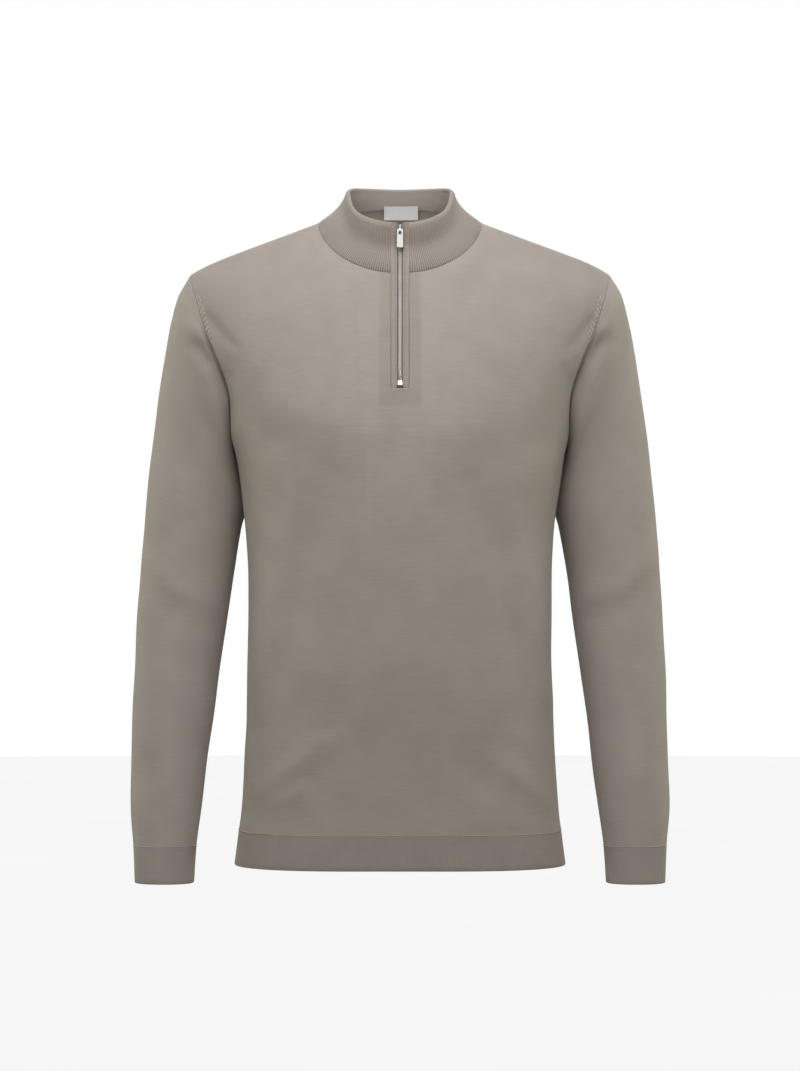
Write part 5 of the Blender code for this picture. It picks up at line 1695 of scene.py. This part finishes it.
def add_area_light(name, place, target, size, energy, color):
    """A soft rectangular light, or a narrow beam if its size is one angle."""
    lamp = bpy.data.lights.new(name, "AREA" if len(size) == 2 else "SPOT")
    if len(size) == 2:
        lamp.shape = "RECTANGLE"
        lamp.size, lamp.size_y = size
    else:
        lamp.spot_size, lamp.spot_blend, lamp.shadow_soft_size = size[0], 0.6, 0.12
    lamp.energy, lamp.color = energy, color
    made = add_object(name, lamp)
    made.visible_camera = False
    aim(made, place, target)


# name, place, target, size, watts, colour; one that stands to the side has a twin opposite
WARM, COOL, PLAIN = (0.96, 1.0, 0.92), (0.98, 0.98, 1.12), (1.0, 0.99, 1.0)
LIGHTS = (
    ("over_light", (0.0, -0.7, 1.7), (0.0, 0.0, -0.2), (1.6, 0.8), 28.5, COOL),
    ("near_light", (0.0, -1.6, 1.0), (0.0, 0.0, -0.2), (1.6, 0.8), 36.0, PLAIN),
    ("side_light", (2.6, -0.9, -0.2), (0.0, 0.0, -0.4), (0.9, 2.2), 17.0, WARM),
    ("rim_light", (2.0, 0.9, -0.1), (0.0, 0.0, -0.4), (0.9, 2.2), 24.0, WARM),
    ("back_light", (0.0, 3.2, 1.0), (0.0, 0.0, -0.3), (2.4, 1.6), 60.0, PLAIN),
    ("front_card", (0.0, -5.0, 0.4), (0.0, 0.0, -0.3), (3.0, 2.4), 21.0, PLAIN),
    ("neck_light", (0.0, -1.3, 1.3), (0.0, 0.07, 0.012), (0.062,), 98.0, PLAIN),
    ("inner_light", (0.0, -0.03, -0.07), (0.0, 0.1, 0.01), (0.09, 0.05), 0.072, PLAIN),
)


FLOOR_RADIUS, FLOOR_Z, FLOOR_SIDES = 26.8, -2.2, 96
FLOOR_GLOW = 1.13
WORLD_STRENGTH = 0.02
WHITE = (1.0, 1.0, 1.0, 1.0)


def seen_or_lit(tree, lit, seen):
    """One shader for what the camera sees and another for the light that everything else gets."""
    ray = node(tree, "ShaderNodeLightPath").outputs["Is Camera Ray"]
    return node(tree, "ShaderNodeMixShader", {0: ray, 1: lit, 2: seen}).outputs[0]


def add_stage(settings):
    """Round floor out to the horizon, soft lights, world and camera."""
    turn = np.linspace(0.0, FULL_TURN, FLOOR_SIDES, endpoint=False)
    points = np.stack([
        FLOOR_RADIUS * np.cos(turn), FLOOR_RADIUS * np.sin(turn), np.full(FLOOR_SIDES, FLOOR_Z),
    ], axis=-1)
    mesh = bpy.data.meshes.new("studio_floor")
    mesh.from_pydata(points, [], [list(range(FLOOR_SIDES))])
    material = bpy.data.materials.new("pale_floor")
    material.use_nodes = True
    tree = material.node_tree
    cloud = noise(tree, object_place(tree), 0.6)
    tint = mix(tree, cloud, scaled((1.0, 1.0, 1.0), 0.80), scaled((1.0, 1.0, 1.0), 0.84))
    shader = tree.nodes["Principled BSDF"]
    fill(tree, shader, {"Base Color": tint, "Roughness": 0.9})
    glow = node(tree, "ShaderNodeEmission", {0: tint, 1: FLOOR_GLOW}).outputs[0]
    mixed = seen_or_lit(tree, shader.outputs[0], glow)
    fill(tree, tree.nodes["Material Output"], {0: mixed})
    mesh.materials.append(material)
    add_object("studio_floor", mesh)

    strength = settings.light
    world = bpy.data.worlds.new("studio_world")
    world.use_nodes = True
    tree = world.node_tree
    seen = node(tree, "ShaderNodeBackground", {0: WHITE, 1: 1.0}).outputs[0]
    lit = tree.nodes["Background"]
    fill(tree, lit, {0: WHITE, 1: WORLD_STRENGTH * strength})
    fill(tree, tree.nodes["World Output"], {0: seen_or_lit(tree, lit.outputs[0], seen)})
    bpy.context.scene.world = world
    for name, place, target, size, watts, color in LIGHTS:
        for hand in (1.0, -1.0) if place[0] else (1.0,):
            there = (place[0] * hand, *place[1:])
            add_area_light(name, there, target, size, watts * strength, color)

    camera = bpy.data.cameras.new("camera")
    camera.sensor_width = 36.0
    camera.lens = camera.sensor_width * settings.camera_distance / settings.view_height
    made = add_object("camera", camera)
    place = (0.0, -settings.camera_distance, settings.camera_height)
    aim(made, place, (0.0, 0.0, settings.camera_height))
    bpy.context.scene.camera = made
    bpy.context.scene.view_settings.view_transform = "Standard"


# ---------------------------------------------------------------- operators

class SWEATER_OT_panels(bpy.types.Operator):
    """Make the front and back panels"""

    bl_idname = "sweater.panels"
    bl_label = "Front and back panels"

    def execute(self, context):
        cloth = context.scene.sweater_cloth
        front = add_panel("knit_front", FRONT, cloth, "front_panel")
        back = add_panel("knit_back", BACK, cloth, "back_panel")
        return {"FINISHED"}


class SWEATER_OT_sleeves(bpy.types.Operator):
    """Make both sleeves"""

    bl_idname = "sweater.sleeves"
    bl_label = "Sleeves"

    def execute(self, context):
        for side, hand in HANDS:
            cloth = context.scene.sweater_cloth
            piece = add_sleeve("knit_sleeve_" + side, hand, cloth, "sleeve_" + side)
        return {"FINISHED"}


class SWEATER_OT_bands(bpy.types.Operator):
    """Make the hem band and the cuffs"""

    bl_idname = "sweater.bands"
    bl_label = "Hem band and cuffs"

    def execute(self, context):
        cloth = context.scene.sweater_cloth
        hem = add_hem("rib_hem", cloth, "hem_band")
        for side, hand in HANDS:
            cuff = add_cuff("rib_cuff_" + side, hand, cloth, "cuff_" + side)
        return {"FINISHED"}


class SWEATER_OT_collar(bpy.types.Operator):
    """Make the ribbed stand collar"""

    bl_idname = "sweater.collar"
    bl_label = "Collar"

    def execute(self, context):
        collar = add_collar("rib_collar", context.scene.sweater_cloth, "collar")
        return {"FINISHED"}


class SWEATER_OT_zip(bpy.types.Operator):
    """Make the zip's strips, tapes, corded edges, teeth and metal finish"""

    bl_idname = "sweater.zip"
    bl_label = "Zip"

    def execute(self, context):
        cloth, trim = context.scene.sweater_cloth, context.scene.sweater_trim
        for side, hand in HANDS:
            strip = add_strip(side, hand, cloth)
            tape = add_tape(side, hand, trim)
        add_teeth(trim)
        add_metal("zip_stop_metal", "zip_stop", trim, "garment")
        add_metal("zip_slider_metal", "zip_slider", trim, "garment", 0.3)
        add_metal("zip_pull_metal", "zip_pull", trim, "pull")
        return {"FINISHED"}


class SWEATER_OT_sewing(bpy.types.Operator):
    """Make the armhole marks, the linking chains and the stitches at the zip's end"""

    bl_idname = "sweater.sewing"
    bl_label = "Sewing"

    def execute(self, context):
        cloth = context.scene.sweater_cloth
        if FRONT not in SKINS or BACK not in SKINS:
            raise RuntimeError("Make the panels first")
        add_fashioning_marks(cloth)
        add_chains(cloth)
        add_zip_stitches(cloth)
        return {"FINISHED"}


class SWEATER_OT_label(bpy.types.Operator):
    """Make the bare neck label"""

    bl_idname = "sweater.label"
    bl_label = "Neck label"

    def execute(self, context):
        label = add_label(context.scene.sweater_trim)
        return {"FINISHED"}


class SWEATER_OT_stage(bpy.types.Operator):
    """Make the floor, the lights and the camera"""

    bl_idname = "sweater.stage"
    bl_label = "Stage"

    def execute(self, context):
        add_stage(context.scene.sweater_stage)
        return {"FINISHED"}


class SWEATER_PT_sidebar(bpy.types.Panel):
    """Lists the sweater's steps and settings."""

    bl_label = "Sweater"
    bl_idname = "SWEATER_PT_sidebar"
    bl_space_type = "VIEW_3D"
    bl_region_type = "UI"
    bl_category = "Sweater"

    def draw(self, context):
        for operator in OPERATORS:
            self.layout.operator(operator.bl_idname)
        scene = context.scene
        for settings in (scene.sweater_cloth, scene.sweater_trim, scene.sweater_stage):
            box = self.layout.box()
            for name in settings.__annotations__:
                box.prop(settings, name)


SETTINGS = (SWEATER_PG_cloth, SWEATER_PG_trim, SWEATER_PG_stage)
OPERATORS = (
    SWEATER_OT_stage, SWEATER_OT_panels, SWEATER_OT_sleeves, SWEATER_OT_bands,
    SWEATER_OT_collar, SWEATER_OT_zip, SWEATER_OT_sewing, SWEATER_OT_label,
)


def register():
    """Register every class, and the settings on the scene."""
    for made in SETTINGS + OPERATORS + (SWEATER_PT_sidebar,):
        bpy.utils.register_class(made)
    bpy.types.Scene.sweater_cloth = PointerProperty(type=SWEATER_PG_cloth)
    bpy.types.Scene.sweater_trim = PointerProperty(type=SWEATER_PG_trim)
    bpy.types.Scene.sweater_stage = PointerProperty(type=SWEATER_PG_stage)


def unregister():
    """Take everything off again."""
    del bpy.types.Scene.sweater_cloth, bpy.types.Scene.sweater_trim, bpy.types.Scene.sweater_stage
    for made in reversed(SETTINGS + OPERATORS + (SWEATER_PT_sidebar,)):
        bpy.utils.unregister_class(made)


def main():
    """Make every piece."""
    register()
    bpy.ops.sweater.stage()
    bpy.ops.sweater.panels()
    bpy.ops.sweater.sleeves()
    bpy.ops.sweater.bands()
    bpy.ops.sweater.collar()
    bpy.ops.sweater.zip()
    bpy.ops.sweater.sewing()
    bpy.ops.sweater.label()


if __name__ == "__main__":
    main()
